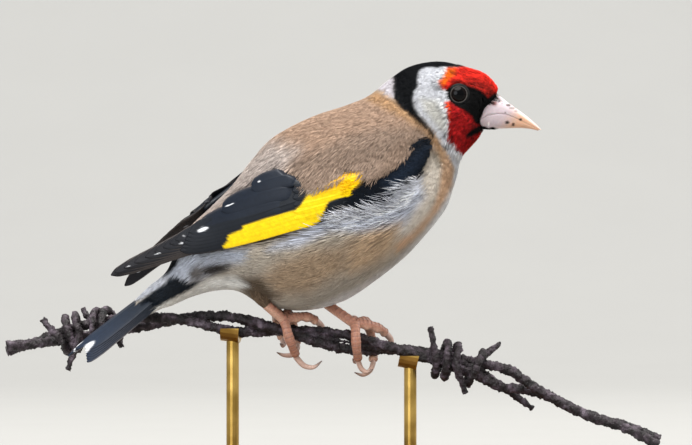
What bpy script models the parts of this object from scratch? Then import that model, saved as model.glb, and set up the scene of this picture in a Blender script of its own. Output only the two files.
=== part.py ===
"""A European goldfinch at life size, perched on a cut length of rusty barbed wire.

Two short rods hold the wire over a flat display base. +Z is up, +X is the way the
bird faces, and -Y is its right side. The origin is the middle of the base's
underside. Sizes are named in millimetres and turned to metres where a mesh is made.

Run with: blender --background --python part.py
"""
import math
import random

import bmesh
import bpy
import numpy as np
from mathutils import Vector

MM = 0.001
GAP = 0.3  # clearance between pieces that touch, mm

# The body is a loft. Each row is a slice from its top point (x, z) to its low point
# (x, z), with the half width across, from the face at the bill back to the tail root.
BODY_SLICES = (
    ((35.8, 92.6), (32.1, 83.1), 3.9),
    ((34.8, 94.9), (31.0, 81.3), 5.9),
    ((32.4, 96.9), (29.5, 79.5), 7.4),
    ((28.6, 98.4), (28.0, 77.9), 8.6),
    ((24.0, 99.4), (27.3, 76.6), 9.2),
    ((19.5, 99.4), (26.8, 74.8), 9.6),
    ((14.8, 98.2), (26.2, 71.9), 10.1),
    ((11.2, 95.9), (25.2, 68.8), 11.0),
    ((8.3, 93.6), (24.1, 65.5), 12.3),
    ((5.0, 91.1), (22.0, 62.3), 13.8),
    ((-0.2, 89.0), (18.9, 58.5), 15.3),
    ((-6.7, 86.9), (14.3, 53.5), 16.5),
    ((-12.9, 84.1), (7.8, 48.2), 17.0),
    ((-18.3, 80.7), (-0.5, 42.8), 16.6),
    ((-22.6, 75.8), (-9.8, 40.5), 15.0),
    ((-27.4, 69.6), (-19.5, 41.8), 12.4),
    ((-32.6, 64.4), (-25.7, 45.1), 9.8),
    ((-37.3, 59.8), (-31.2, 45.2), 7.4),
    ((-40.6, 55.2), (-36.7, 43.8), 5.6),
    ((-42.9, 50.5), (-41.4, 41.9), 4.2),
)
BODY_SIDES = 24  # points round each slice
HEAD_END, NECK_END, BODY_END = 5.4, 8.2, 19.0  # where the body is parted, in slices
RING_STEP = 0.5  # slices between two rings of the loft

# The bill, from its base to its tip: culmen, mouth line and keel as (x, z).
CULMEN = ((36.0, 91.9), (38.8, 89.7), (42.4, 87.1), (44.8, 85.1), (46.5, 83.4))
MOUTH_LINE = ((34.0, 86.8), (37.5, 87.2), (40.6, 86.0), (43.8, 84.5), (46.3, 83.3))
KEEL = ((32.8, 83.7), (35.1, 83.6), (40.6, 83.8), (43.8, 83.6), (46.0, 83.1))
BILL_HALF_WIDTH = (3.35, 2.85, 1.95, 1.1, 0.2)
NOSTRIL = (36.9, 90.2)  # (x, z)
NOSTRIL_RADIUS = 0.5

EYE = (26.76, 91.9)  # (x, z)
EYE_RADIUS = 2.75
EYE_PROUD = 0.15  # how far the eyeball stands out of the head
EYE_AXIS = Vector((0.14, -0.98, 0.12)).normalized()  # the right eye's view
LID_RADIUS, LID_WIRE, LID_OUT = 2.22, 0.42, 2.42  # the rim round the opening

# The folded right wing lies on a curved sheet, with s along it from the shoulder to
# the tip and v across it, upwards.
SHOULDER = (18.8, 78.6)  # (x, z)
WING_ANGLE = math.radians(21.4)  # below the level, towards the tail
LEFT_SHOULDER = (18.65, 82.75)
LEFT_WING_ANGLE = math.radians(27.0)
SHEET_S = (-4.0, 0.0, 10.0, 20.0, 30.0, 36.0, 46.0, 54.0, 62.0, 70.0, 82.0)
LEFT_WING_BOW = (0.0, 0.0, 0.4, 1.6, 3.0, 3.6, 4.3, 4.7, 4.2, 3.0, 0.0)  # its arch over the back
SHEET_HALF_BREADTH = (9.0, 10.7, 14.4, 16.0, 16.0, 15.2, 12.4, 9.9, 7.7, 5.6, 3.4)
SHEET_MIDDLE = (-1.5, -1.5, -2.0, -3.5, -4.9, -5.7, -5.1, -4.8, -3.8, -3.0, -1.0)
SHEET_REACH = (17.5, 17.5, 18.7, 20.8, 20.8, 20.5, 15.8, 11.6, 9.6, 8.0, 7.0)
WING_EDGE_S = (-1.4, 2.0, 6.0, 12.0, 19.0, 28.0, 33.0, 38.0, 44.0, 52.0, 60.0, 70.0, 80.0)
WING_UPPER = (0.6, 0.6, 0.2, 0.2, 1.2, 3.6, 6.4, 7.2, 6.0, 3.8, 2.6, 1.5, 0.0)
WING_LOWER = (-0.8, -3.6, -5.6, -7.2, -7.6, -7.2, -6.8, -6.0, -5.0, -3.6, -2.4, -1.9, -0.6)
ARM_END = 55.0
ARM_THICKNESS = 1.7

# The tail's frame: q runs from the root to the tip, r across and n upwards.
TAIL_ROOT, TAIL_TIP = Vector((-41.0, 0.0, 48.4)), Vector((-64.6, -3.2, 30.0))
TAIL_ROLL = math.radians(-24.0)  # the near edge hangs lower
RECTRIX_PAIRS = 6
RECTRIX_WIDTH, RECTRIX_THICKNESS = 5.6, 0.5
TAIL_FORK = 3.4  # how much longer the outer feathers are

# How a feather widens and closes: (share of its length, share of its width).
LONG_FEATHER = ((0.0, 0.6), (0.35, 1.0), (0.72, 1.0), (0.91, 0.78), (1.0, 0.3))
SHORT_FEATHER = ((0.0, 0.8), (0.55, 1.0), (0.86, 0.85), (1.0, 0.4))

LEG_RADIUS, TOE_RADIUS, CLAW_RADIUS = 1.12, 1.1, 0.62
ANKLE = 2.7  # how much of the shank belongs to the foot, mm

# Each leg: the ends of its thigh, the foot joint, then the toes as (points, claw points).
LEGS = {
    "right": {
        "thigh": ((-21.8, -6.0, 46.6), (-18.6, -5.3, 41.5)),
        "joint": (-14.6, -2.6, 38.0),
        "toes": (
            (((-14.6, -2.6, 38.0), (-14.0, -4.3, 35.5), (-13.0, -3.9, 32.4), (-11.9, -2.0, 29.6)),
             ((-11.7, -1.7, 29.1), (-10.0, -1.2, 27.3), (-7.7, -1.1, 26.9), (-5.7, -1.4, 28.4))),
            (((-14.6, -2.6, 38.0), (-12.0, -1.2, 38.7), (-9.3, 0.2, 38.8), (-7.0, 2.0, 37.8)),
             ((-6.6, 2.4, 37.4), (-5.7, 3.5, 36.4), (-5.2, 4.2, 35.0), (-5.3, 4.4, 33.6))),
            (((-14.6, -2.6, 38.0), (-14.0, 0.8, 39.6), (-13.0, 3.9, 37.9), (-12.3, 4.6, 34.7),
              (-11.7, 3.4, 32.1)),
             ((-11.6, 2.8, 31.2), (-12.7, 1.3, 29.8), (-14.8, 0.4, 29.7), (-16.5, -0.4, 30.4))),
            (((-14.6, -2.6, 38.0), (-16.2, 0.6, 39.7), (-16.6, 3.9, 38.2), (-16.0, 4.6, 35.7),
              (-15.2, 3.5, 33.5)),
             ((-15.0, 3.2, 33.0), (-14.8, 1.9, 32.3), (-15.1, 0.7, 32.0), (-15.7, -0.3, 32.5))),
        ),
    },
    "left": {
        "thigh": ((-7.2, 4.2, 46.4), (-4.2, 2.7, 41.5)),
        "joint": (2.2, -1.9, 37.1),
        "toes": (
            (((2.2, -1.9, 37.1), (2.3, -4.2, 34.6), (2.5, -4.2, 31.4), (2.9, -2.6, 28.6)),
             ((3.0, -2.3, 28.1), (3.7, -1.8, 26.5), (5.0, -1.6, 25.8), (6.4, -1.8, 26.4))),
            (((2.2, -1.9, 37.1), (4.9, -0.9, 37.0), (7.5, 0.6, 36.2), (9.5, 2.6, 34.8)),
             ((9.8, 2.9, 34.5), (10.7, 3.8, 33.4), (11.0, 4.3, 32.1), (10.9, 4.5, 30.8))),
            (((2.2, -1.9, 37.1), (4.6, 1.5, 37.7), (5.8, 3.9, 34.8), (6.4, 4.0, 31.2),
              (6.5, 2.5, 28.0)),
             ((6.4, 2.2, 27.5), (5.7, 1.0, 26.0), (4.0, 0.4, 25.0), (2.0, 0.0, 25.6))),
            (((2.2, -1.9, 37.1), (1.9, 1.6, 37.9), (2.2, 4.1, 35.5), (2.4, 4.6, 32.4),
              (2.6, 3.4, 29.9)),
             ((2.6, 3.1, 29.4), (2.4, 2.0, 28.4), (2.0, 0.9, 28.3), (1.6, 0.0, 28.9))),
        ),
    },
}

# The perch: points of the twisted wire's middle line. Behind the tail it bends away.
WIRE_ROUTE = (
    (-81.5, 10.0, 31.0), (-75.0, 10.9, 32.3), (-64.5, 10.6, 35.0), (-58.0, 9.6, 36.2),
    (-53.0, 8.3, 37.0), (-46.2, 6.0, 37.8), (-40.0, 3.9, 38.3), (-36.0, 2.6, 38.3),
    (-30.5, 1.3, 37.6), (-26.4, 0.7, 37.0), (-20.0, 0.1, 36.2), (-15.0, 0.0, 35.6),
    (-8.0, 0.0, 34.3), (-0.2, 0.0, 32.9), (6.0, 0.0, 31.9), (12.4, 0.0, 31.1),
    (18.1, 0.0, 29.9), (28.3, 0.0, 27.4), (38.0, 0.0, 24.1), (43.8, 0.0, 22.0),
    (49.5, 0.0, 19.3), (55.2, 0.0, 16.4), (61.0, 0.0, 14.3), (66.7, 0.0, 12.6),
    (72.4, 0.0, 10.0), (74.5, 0.0, 8.9),
)
STRAND_RADIUS = 1.25
TWIST_X = (-82.0, -76.0, -58.0, -40.0, -26.4, -15.0, -0.2, 12.4, 36.0, 45.0, 60.0, 75.0)
TWIST_DEGREES = (-30, 0, 90, 180, 270, 360, 450, 540, 630, 706, 720, 742)
# How far each strand lies from the middle line, along the wire.
SPREAD_X = (-82, -50, -40, -26, -15, 0, 12, 24, 32, 38, 45, 54, 75)
SPREAD = (1.46, 1.46, 1.48, 1.62, 1.48, 1.66, 1.46, 1.46, 1.6, 2.3, 1.7, 1.46, 1.46)
BARB_RADIUS = 0.95
BARB_PITCH = 2.35
# Each barb: start of its coil, turns, start angle from the far side, and its two tips as
# (x, y off the wire's middle, z).
BARBS = (
    ("perch_barb_1", -68.2, 2.0, 195, (-72.8, -3.6, 38.3), (-66.6, -4.4, 26.0)),
    ("perch_barb_2", -61.0, -2.0, 0, (-63.6, 5.0, 40.6), (-54.0, 4.0, 31.2)),
    ("perch_barb_3", 21.6, 2.0, 190, (20.0, -4.0, 36.6), (28.4, -3.4, 20.8)),
    ("perch_barb_4", 29.6, -1.0, 0, (37.0, 8.0, 32.4), (44.6, 3.4, 16.8)),
)

BASE_SIZE = (112.0, 66.0, 6.0)
BASE_CORNER = 12.0
ROD_RADIUS = 1.5
ROD_X = (-27.0, 15.3)
SADDLE_LENGTH, SADDLE_WALL = 4.4, 1.1
FLANGE_RADIUS, FLANGE_HEIGHT = 5.0, 1.4

COLOURS = {
    "plumage_head": ((0.75, 0.72, 0.70), 0.8, 0.0),
    "plumage_body": ((0.46, 0.33, 0.23), 0.85, 0.0),
    "feather_black": ((0.02, 0.022, 0.03), 0.45, 0.0),
    "bill": ((0.80, 0.62, 0.54), 0.4, 0.0),
    "eye": ((0.01, 0.008, 0.008), 0.05, 0.0),
    "leg_skin": ((0.62, 0.34, 0.26), 0.55, 0.0),
    "claw": ((0.45, 0.30, 0.27), 0.4, 0.0),
    "rusty_wire": ((0.09, 0.055, 0.05), 0.75, 0.6),
    "base_wood": ((0.10, 0.06, 0.04), 0.4, 0.0),
    "rod_brass": ((0.55, 0.42, 0.20), 0.3, 1.0),
}


def clear_scene():
    for obj in list(bpy.data.objects):
        bpy.data.objects.remove(obj, do_unlink=True)


def collection(name, helper=False):
    """A collection in the scene; a helper one holds cutters and shows nothing."""
    made = bpy.data.collections.new(name)
    made.hide_render = helper
    bpy.context.scene.collection.children.link(made)
    return made


def material(name):
    """The Principled finish of that name from COLOURS."""
    made = bpy.data.materials.get(name)
    if made is None:
        colour, roughness, metallic = COLOURS[name]
        made = bpy.data.materials.new(name)
        made.use_nodes = True
        shader = made.node_tree.nodes["Principled BSDF"]
        shader.inputs["Base Color"].default_value = (*colour, 1.0)
        shader.inputs["Roughness"].default_value = roughness
        shader.inputs["Metallic"].default_value = metallic
        made.diffuse_color = (*colour, 1.0)
    return made


def mesh_object(name, points, faces, where):
    """An object from points in millimetres, with its faces turned outwards."""
    mesh = bpy.data.meshes.new(name)
    mesh.from_pydata((np.asarray(points) * MM).tolist(), [], faces)
    work = bmesh.new()
    work.from_mesh(mesh)
    bmesh.ops.recalc_face_normals(work, faces=work.faces)
    work.to_mesh(mesh)
    work.free()
    obj = bpy.data.objects.new(name, mesh)
    where.objects.link(obj)
    return obj


def finish(obj, name, finish_name):
    """Names a finished part, gives it its material and shades it smooth."""
    obj.name = name
    obj.data.name = name
    obj.data.materials.clear()
    obj.data.materials.append(material(finish_name))
    obj.data.shade_smooth()
    obj.data.set_sharp_from_angle(angle=math.radians(35))
    return obj


def spline(knots, values, at):
    """Values at the places in at, on a smooth curve through values at the knots."""
    knots, values = np.asarray(knots, float), np.asarray(values, float)
    at = np.clip(np.asarray(at, float), knots[0], knots[-1])
    slopes = np.gradient(values, knots, axis=0)
    i = np.clip(np.searchsorted(knots, at, side="right") - 1, 0, len(knots) - 2)
    span = knots[i + 1] - knots[i]
    u = (at - knots[i]) / span
    if values.ndim > 1:
        u, span = u[..., None], span[..., None]
    return (
        (2 * u**3 - 3 * u**2 + 1) * values[i]
        + (u**3 - 2 * u**2 + u) * span * slopes[i]
        + (3 * u**2 - 2 * u**3) * values[i + 1]
        + (u**3 - u**2) * span * slopes[i + 1]
    )


def loft(name, rings, where):
    """A closed surface over rings of equally many points, with a fan at each end."""
    count = len(rings[0])
    points = [p for ring in rings for p in ring]
    faces = []
    for i in range(len(rings) - 1):
        for j in range(count):
            k = (j + 1) % count
            a, b = i * count, (i + 1) * count
            faces.append((a + j, a + k, b + k, b + j))
    for i in (0, len(rings) - 1):
        centre = len(points)
        points.append(np.mean(rings[i], axis=0))
        faces += [(i * count + j, i * count + (j + 1) % count, centre) for j in range(count)]
    return mesh_object(name, points, faces, where)


def tube(name, path, radii, where, bevel=2):
    """A round bar through the path's points, as a closed mesh. bevel 2 gives 8 sides."""
    curve = bpy.data.curves.new(name, "CURVE")
    curve.dimensions = "3D"
    curve.bevel_depth = MM
    curve.bevel_resolution = bevel
    curve.use_fill_caps = True
    line = curve.splines.new("POLY")
    line.points.add(len(path) - 1)
    for point, place, radius in zip(line.points, path, radii):
        point.co = (*(float(c) * MM for c in place), 1.0)
        point.radius = float(radius)
    shaped = bpy.data.objects.new(name + "_curve", curve)
    where.objects.link(shaped)
    graph = bpy.context.evaluated_depsgraph_get()
    mesh = bpy.data.meshes.new_from_object(shaped.evaluated_get(graph))
    bpy.data.objects.remove(shaped)
    work = bmesh.new()
    work.from_mesh(mesh)
    bmesh.ops.remove_doubles(work, verts=work.verts, dist=1e-6)
    bmesh.ops.recalc_face_normals(work, faces=work.faces)
    work.to_mesh(mesh)
    work.free()
    obj = bpy.data.objects.new(name, mesh)
    where.objects.link(obj)
    return obj


def smooth_path(points, count):
    """count points, evenly spaced in the list, on a smooth curve through points."""
    return spline(range(len(points)), points, np.linspace(0, len(points) - 1, count))


def ball(name, centre, radius, where, segments=16, rings=10):
    bpy.ops.mesh.primitive_uv_sphere_add(
        segments=segments, ring_count=rings, radius=radius * MM,
        location=[float(c) * MM for c in centre],
    )
    return place_primitive(name, where)


def box(name, centre, size, where):
    bpy.ops.mesh.primitive_cube_add(size=1, location=[float(c) * MM for c in centre])
    bpy.context.object.scale = [side * MM for side in size]
    return place_primitive(name, where)


def cylinder(name, centre, axis, radius, length, where, sides=24):
    bpy.ops.mesh.primitive_cylinder_add(
        vertices=sides, radius=radius * MM, depth=length * MM,
        location=[float(c) * MM for c in centre],
        rotation=Vector(axis).to_track_quat("Z", "Y").to_euler(),
    )
    return place_primitive(name, where)


def place_primitive(name, where):
    """The primitive just added, with its place in its mesh, in that collection."""
    obj = bpy.context.object
    obj.name = name
    bpy.ops.object.transform_apply(location=True, rotation=True, scale=True)
    for old in list(obj.users_collection):
        old.objects.unlink(obj)
    where.objects.link(obj)
    return obj


def apply_modifiers(obj):
    """Replaces the object's mesh by its evaluated one."""
    graph = bpy.context.evaluated_depsgraph_get()
    mesh = bpy.data.meshes.new_from_object(obj.evaluated_get(graph))
    obj.modifiers.clear()
    obj.data = mesh
    return obj


def keep_largest(obj):
    """Keeps the largest closed surface of a mesh."""
    work = bmesh.new()
    work.from_mesh(obj.data)
    left, islands = set(work.faces), []
    while left:
        island, queue = set(), [left.pop()]
        while queue:
            face = queue.pop()
            island.add(face)
            for edge in face.edges:
                for other in edge.link_faces:
                    if other in left:
                        left.remove(other)
                        queue.append(other)
        islands.append(island)
    islands.sort(key=lambda faces: -sum(f.calc_area() for f in faces))
    drop = [face for island in islands[1:] for face in island]
    bmesh.ops.delete(work, geom=drop, context="FACES")
    work.to_mesh(obj.data)
    work.free()
    return obj


def union(base, pieces, name):
    """Joins closed pieces to the base by one Boolean, and keeps one closed body."""
    group = bpy.data.collections.new(name + "_pieces")
    for piece in pieces:
        group.objects.link(piece)
    join = base.modifiers.new("join", "BOOLEAN")
    join.operation = "UNION"
    join.operand_type = "COLLECTION"
    join.collection = group
    join.solver = "MANIFOLD"
    apply_modifiers(base)
    for piece in pieces:
        bpy.data.objects.remove(piece)
    bpy.data.collections.remove(group)
    return keep_largest(base)


def cut(obj, cutter, keep=False):
    """Takes the cutter's shape out of the object."""
    bite = obj.modifiers.new("cut", "BOOLEAN")
    bite.operation = "DIFFERENCE"
    bite.object = cutter
    bite.solver = "EXACT"
    apply_modifiers(obj)
    if not keep:
        bpy.data.objects.remove(cutter)
    return keep_largest(obj)


def body_slice(place):
    """Top point, low point and half width of the body at a place counted in slices."""
    knots = range(len(BODY_SLICES))
    top = spline(knots, [s[0] for s in BODY_SLICES], place)
    low = spline(knots, [s[1] for s in BODY_SLICES], place)
    return top, low, spline(knots, [s[2] for s in BODY_SLICES], place)


def body_ring(place):
    """The points round the body at that place."""
    top, low, half_width = body_slice(place)
    turn = 2 * math.pi * np.arange(BODY_SIDES) / BODY_SIDES
    middle, half = (top + low) / 2, (top - low) / 2
    across = np.sin(turn) * half_width
    return np.stack(
        [middle[0] + np.cos(turn) * half[0], across, middle[1] + np.cos(turn) * half[1]], 1
    )


def body_half_width(x, z):
    """How far the body reaches sideways at a point seen from its side, or 0 outside."""
    places = np.linspace(0, BODY_END, 400)
    top, low, half_width = body_slice(places)
    run = low - top
    offset = np.array([x, z]) - top
    across = offset[:, 0] * run[:, 1] - offset[:, 1] * run[:, 0]
    share = (offset * run).sum(1) / (run * run).sum(1)
    inside = (share >= 0) & (share <= 1)
    crossed = np.nonzero((across[:-1] * across[1:] <= 0) & inside[:-1])[0]
    if not len(crossed):
        return 0.0
    i = crossed[0]
    return float(half_width[i] * math.sqrt(max(0.0, 1 - (1 - 2 * share[i]) ** 2)))


def body_part(name, start, end, where):
    """One length of the body, from one place to another. Its flat rear end stops short
    of the next part by the clearance."""
    count = max(3, round((end - start) / RING_STEP) + 1)
    rings = [body_ring(p) for p in np.linspace(start, end, count)]
    if end < BODY_END:
        top, low, _ = body_slice(end)
        forward = np.array([top[1] - low[1], 0, low[0] - top[0]])
        rings[-1] = rings[-1] + forward / np.linalg.norm(forward) * GAP * 1.1
    return loft(name, rings, where)


def mirrored(point):
    return Vector((point[0], -point[1], point[2]))


def eye_centre(side):
    """The middle of an eyeball; side is -1 for the right eye and 1 for the left."""
    out = body_half_width(*EYE) + EYE_PROUD - EYE_RADIUS
    return Vector((EYE[0], side * out, EYE[1]))


def eye_axis(side):
    return EYE_AXIS if side < 0 else mirrored(EYE_AXIS)


def make_eyes(where):
    for side, name in ((-1, "eye_right"), (1, "eye_left")):
        finish(ball(name, eye_centre(side), EYE_RADIUS, where), name, "eye")


def make_head(where, helpers):
    """The head with a raised lid round each eye, and a socket that holds the eyeball."""
    head = body_part("head", 0.0, HEAD_END, where)
    lids = []
    for side in (-1, 1):
        centre = eye_centre(side) + eye_axis(side) * LID_OUT
        bpy.ops.mesh.primitive_torus_add(
            major_segments=20, minor_segments=6,
            major_radius=LID_RADIUS * MM, minor_radius=LID_WIRE * MM,
            location=centre * MM, rotation=eye_axis(side).to_track_quat("Z", "Y").to_euler(),
        )
        lids.append(place_primitive("lid", helpers))
    union(head, lids, "head")
    for side in (-1, 1):
        cut(head, ball("socket", eye_centre(side), EYE_RADIUS + GAP, helpers))
    return finish(head, "head", "plumage_head")


def half_round(edge, crown, half_width, count=10):
    """A D-shaped ring: flat along the edge's line, and rounded out to the crown."""
    edge, crown = np.asarray(edge, float), np.asarray(crown, float)
    turn = np.linspace(0, math.pi, count)
    rise = np.sin(turn) ** 0.85
    x = edge[0] + (crown[0] - edge[0]) * rise
    z = edge[1] + (crown[1] - edge[1]) * rise
    return np.stack([x, np.cos(turn) * half_width, z], 1)


def make_bill(where, helpers):
    """Both halves of the bill, parted along the mouth line, with open nostrils."""
    stations = np.linspace(0, len(CULMEN) - 1, 9)
    knots = range(len(CULMEN))
    culmen, mouth, keel, width = (
        spline(knots, line, stations) for line in (CULMEN, MOUTH_LINE, KEEL, BILL_HALF_WIDTH)
    )
    upper = loft("bill_upper", [half_round(*s) for s in zip(mouth, culmen, width)], where)
    for side in (-1, 1):
        spot = (NOSTRIL[0], side * BILL_HALF_WIDTH[0] * 0.74, NOSTRIL[1])
        cut(upper, ball("nostril", spot, NOSTRIL_RADIUS, helpers, 10, 6))
    finish(upper, "bill_upper", "bill")
    below = mouth - (0, GAP)
    tip = len(stations) - 1
    rings = [half_round(*s) for s in zip(below[:tip], keel[:tip], width[:tip] * 0.93)]
    lower = loft("bill_lower", rings, where)
    finish(lower, "bill_lower", "bill")


class WingSheet:
    """The curved sheet that one folded wing lies on, in millimetres."""

    def __init__(self, side):
        self.side = side
        self.shoulder = SHOULDER if side < 0 else LEFT_SHOULDER
        angle = WING_ANGLE if side < 0 else LEFT_WING_ANGLE
        self.along = np.array([-math.cos(angle), -math.sin(angle)])
        self.up = np.array([-math.sin(angle), math.cos(angle)])
        self.bow = [0.0] * len(SHEET_S) if side < 0 else LEFT_WING_BOW

    def on_sheet(self, s, v):
        bow, middle, reach, breadth = (
            float(spline(SHEET_S, line, s))
            for line in (self.bow, SHEET_MIDDLE, SHEET_REACH, SHEET_HALF_BREADTH)
        )
        off = (v + 0.8 * bow - middle) / reach
        depth = breadth * math.sqrt(max(0.02, 1 - off * off))
        x, z = np.array(self.shoulder) + self.along * s + self.up * (v + bow)
        return np.array([x, self.side * depth, z])

    def point(self, s, v, height):
        """A point at a height off the sheet, measured outwards from the body."""
        s, v, step = float(s), float(v), 0.4
        here = self.on_sheet(s, v)
        one = self.on_sheet(s + step, v) - self.on_sheet(s - step, v)
        two = self.on_sheet(s, v + step) - self.on_sheet(s, v - step)
        out = np.cross(one, two)
        out *= math.copysign(1.0, out[1] * self.side) / np.linalg.norm(out)
        return here + out * height


def slab(name, upper, lower, where):
    """A thin closed piece between two alike grids of points, with the same triangles
    on both faces."""
    rows, columns = len(upper), len(upper[0])
    points = [p for row in upper for p in row] + [p for row in lower for p in row]
    shift = rows * columns
    faces = []
    for i in range(rows - 1):
        for j in range(columns - 1):
            a = i * columns + j
            b, c, d = a + 1, a + columns + 1, a + columns
            faces += [(a, b, c), (a, c, d)]
            faces += [(shift + c, shift + b, shift + a), (shift + d, shift + c, shift + a)]
    rim = [j for j in range(columns)]
    rim += [i * columns + columns - 1 for i in range(1, rows)]
    rim += [(rows - 1) * columns + j for j in range(columns - 2, -1, -1)]
    rim += [i * columns for i in range(rows - 2, 0, -1)]
    for a, b in zip(rim, rim[1:] + rim[:1]):
        faces += [(a, shift + a, shift + b), (a, shift + b, b)]
    return mesh_object(name, points, faces, where)


def vane(frame, root, tip, width, height, where, shape=LONG_FEATHER, rise=0.0,
         thickness=0.5, camber=0.12, bow=0.0):
    """One flat feather on a frame whose point(s, v, height) gives a place. Height is
    that of its root, rise is how much higher its tip lies, and bow bends it upwards."""
    upper, lower = [], []
    for u, full in shape:
        s = root[0] + (tip[0] - root[0]) * u
        v = root[1] + (tip[1] - root[1]) * u + 4 * bow * u * (1 - u)
        top_row, low_row = [], []
        for t in (-1, 0, 1):
            level = height + rise * u - camber * t * t
            off = v + t * full * width / 2
            top_row.append(frame.point(s, off, level + thickness))
            low_row.append(frame.point(s, off, level))
        upper.append(top_row)
        lower.append(low_row)
    return slab("feather", upper, lower, where)


def wing_pad(name, sheet, where, end, margin, thickness, floor):
    """A smooth pad on the sheet inside the wing's outline, from the shoulder to end.
    thickness is a function of the shares along and across it."""
    rows, columns = 11, 4
    upper, lower = [], []
    for i in range(rows + 1):
        first, last = WING_EDGE_S[0] - margin, end
        s = first + (last - first) * i / rows
        high = float(spline(WING_EDGE_S, WING_UPPER, s)) + margin
        low = float(spline(WING_EDGE_S, WING_LOWER, s)) - margin
        top_row, low_row = [], []
        for j in range(columns + 1):
            t = 2 * j / columns - 1
            v = (high + low) / 2 + t * (high - low) / 2
            top_row.append(sheet.point(s, v, thickness(i / rows, t)))
            low_row.append(sheet.point(s, v, floor))
        upper.append(top_row)
        lower.append(low_row)
    return slab(name, upper, lower, where)


def arm_thickness(along, across):
    """The arm is thick in its middle and thin at its edges and ends."""
    taper = min(1.0, 0.35 + min(along * 2.5, (1 - along) * 1.2))
    return 0.5 + (ARM_THICKNESS - 0.5) * taper * (1 - across**4)


def wing_pocket(sheet, where):
    """The room that the body gives up for a folded wing."""
    return wing_pad("wing_pocket", sheet, where, 76.0, 2.0, lambda a, b: 9.0, -GAP - 1.2)


def wing_feathers(sheet, where):
    """The flight feathers and coverts of one wing, from the deepest layer outwards."""
    made = []
    for i, reach in enumerate((80.3, 79.0, 76.2, 73.0, 69.8, 66.6)):
        made.append(vane(sheet, (25.0, -5.2 + 0.6 * i), (reach, -0.5 + 0.26 * i), 4.2,
                         0.05 + 0.22 * i, where, bow=0.9 - 0.15 * i))
    for i in range(4):
        made.append(vane(sheet, (28.0, -2.6 + 1.2 * i), (62.6 - i, -0.7 + 0.75 * i), 5.0,
                         1.35 + 0.2 * i, where, rise=-0.3))
    last_v = 6.8 if sheet.side < 0 else 5.2
    for i, (tip, width) in enumerate((((56.6, 1.6), 5.6), ((48.2, 4.6), 5.4), ((41.0, last_v), 4.4))):
        made.append(vane(sheet, (30.0, 0.4 + 2.2 * i), tip, width, 2.0 + 0.2 * i, where,
                         rise=-0.3))
    for i in range(5):
        made.append(vane(sheet, (19.0, -5.8 + 1.5 * i), (35.4 - 0.7 * i, -5.6 + 2.1 * i), 3.4,
                         1.35 + 0.2 * i, where, SHORT_FEATHER, rise=0.35))
    for i in range(4):
        made.append(vane(sheet, (9.0, -5.2 + 1.3 * i), (22.4 + 0.8 * i, -5.6 + 1.9 * i), 3.2,
                         1.35 + 0.2 * i, where, SHORT_FEATHER, rise=0.35))
    return made


def make_wing(side, name, where, helpers):
    sheet = WingSheet(side)
    arm = wing_pad(name, sheet, where, ARM_END, 0.0, arm_thickness, 0.0)
    union(arm, wing_feathers(sheet, helpers), name)
    return finish(arm, name, "feather_black")


class TailFrame:
    """The tail's own axes: q from root to tip, r across the tail, height upwards."""

    def __init__(self):
        self.length = (TAIL_TIP - TAIL_ROOT).length
        self.along = (TAIL_TIP - TAIL_ROOT) / self.length
        across = Vector((0, 0, 1)).cross(self.along).normalized()
        if across.y < 0:
            across = -across
        up = across.cross(self.along)
        if up.z < 0:
            up = -up
        self.across = across * math.cos(TAIL_ROLL) - up * math.sin(TAIL_ROLL)
        self.up = up * math.cos(TAIL_ROLL) + across * math.sin(TAIL_ROLL)

    def point(self, q, r, height):
        """The tail is arched: its surface falls away from the middle feathers."""
        bend = 0.07 * r * r / (1 + 0.04 * r * r)
        place = TAIL_ROOT + self.along * q + self.across * r + self.up * (height - bend)
        return np.array(place)


def make_tail(where, helpers):
    """Six pairs of tail feathers, the middle pair on top, on a root whose front face is
    parallel to the body's end."""
    frame = TailFrame()
    end_ring = body_ring(BODY_END)
    middle = end_ring.mean(0)
    rings = []
    for far, size in ((GAP * 2.8, 0.85), (2.7, 0.83), (6.0, 0.7), (10.0, 0.46), (13.0, 0.2)):
        rings.append(middle + (end_ring - middle) * size + np.array(frame.along) * far)
    base = loft("tail", rings, where)
    feathers = []
    for i in range(RECTRIX_PAIRS):
        for side in (-1, 1):
            reach = frame.length - TAIL_FORK * (1 - i / (RECTRIX_PAIRS - 1))
            lift = -0.26 * i + (0.12 if side > 0 else 0.0)
            feathers.append(vane(frame, (4.4, side * (0.5 + 0.25 * i)),
                                 (reach - 0.5 * (side > 0), side * (1.3 + 0.62 * i)),
                                 RECTRIX_WIDTH - 0.45 * i, lift, helpers,
                                 thickness=RECTRIX_THICKNESS, camber=0.1))
    union(base, feathers, "tail")
    return finish(base, "tail", "feather_black")


def make_thighs(body, where, helpers):
    """The feathered top of each leg, standing in a shallow socket of the body."""
    for side, leg in LEGS.items():
        name = f"thigh_{side}"
        top, end = (np.array(p) for p in leg["thigh"])
        run = (end - top) / np.linalg.norm(end - top)
        path = [top + (end - top) * u for u in (0.0, 0.35, 0.75, 1.0)]
        radii = (2.3, 2.7, 1.9, 1.3)
        finish(tube(name, path, radii, where, 4), name, "plumage_body")
        wide = [path[0] - run * GAP * 1.2, *path[1:3], path[3] + run * GAP * 1.2]
        cut(body, tube("thigh_socket", wide, [r + GAP * 1.25 for r in radii], helpers, 4))


def make_body(where, helpers):
    """Neck and torso, with a pocket in each flank that the folded wing lies in."""
    neck = body_part("neck", HEAD_END, NECK_END, where)
    torso = body_part("torso", NECK_END, BODY_END, where)
    for side in (-1, 1):
        pocket = wing_pocket(WingSheet(side), helpers)
        cut(neck, pocket, keep=True)
        cut(torso, pocket)
    make_thighs(torso, where, helpers)
    finish(neck, "neck", "plumage_head")
    finish(torso, "torso", "plumage_body")


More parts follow.
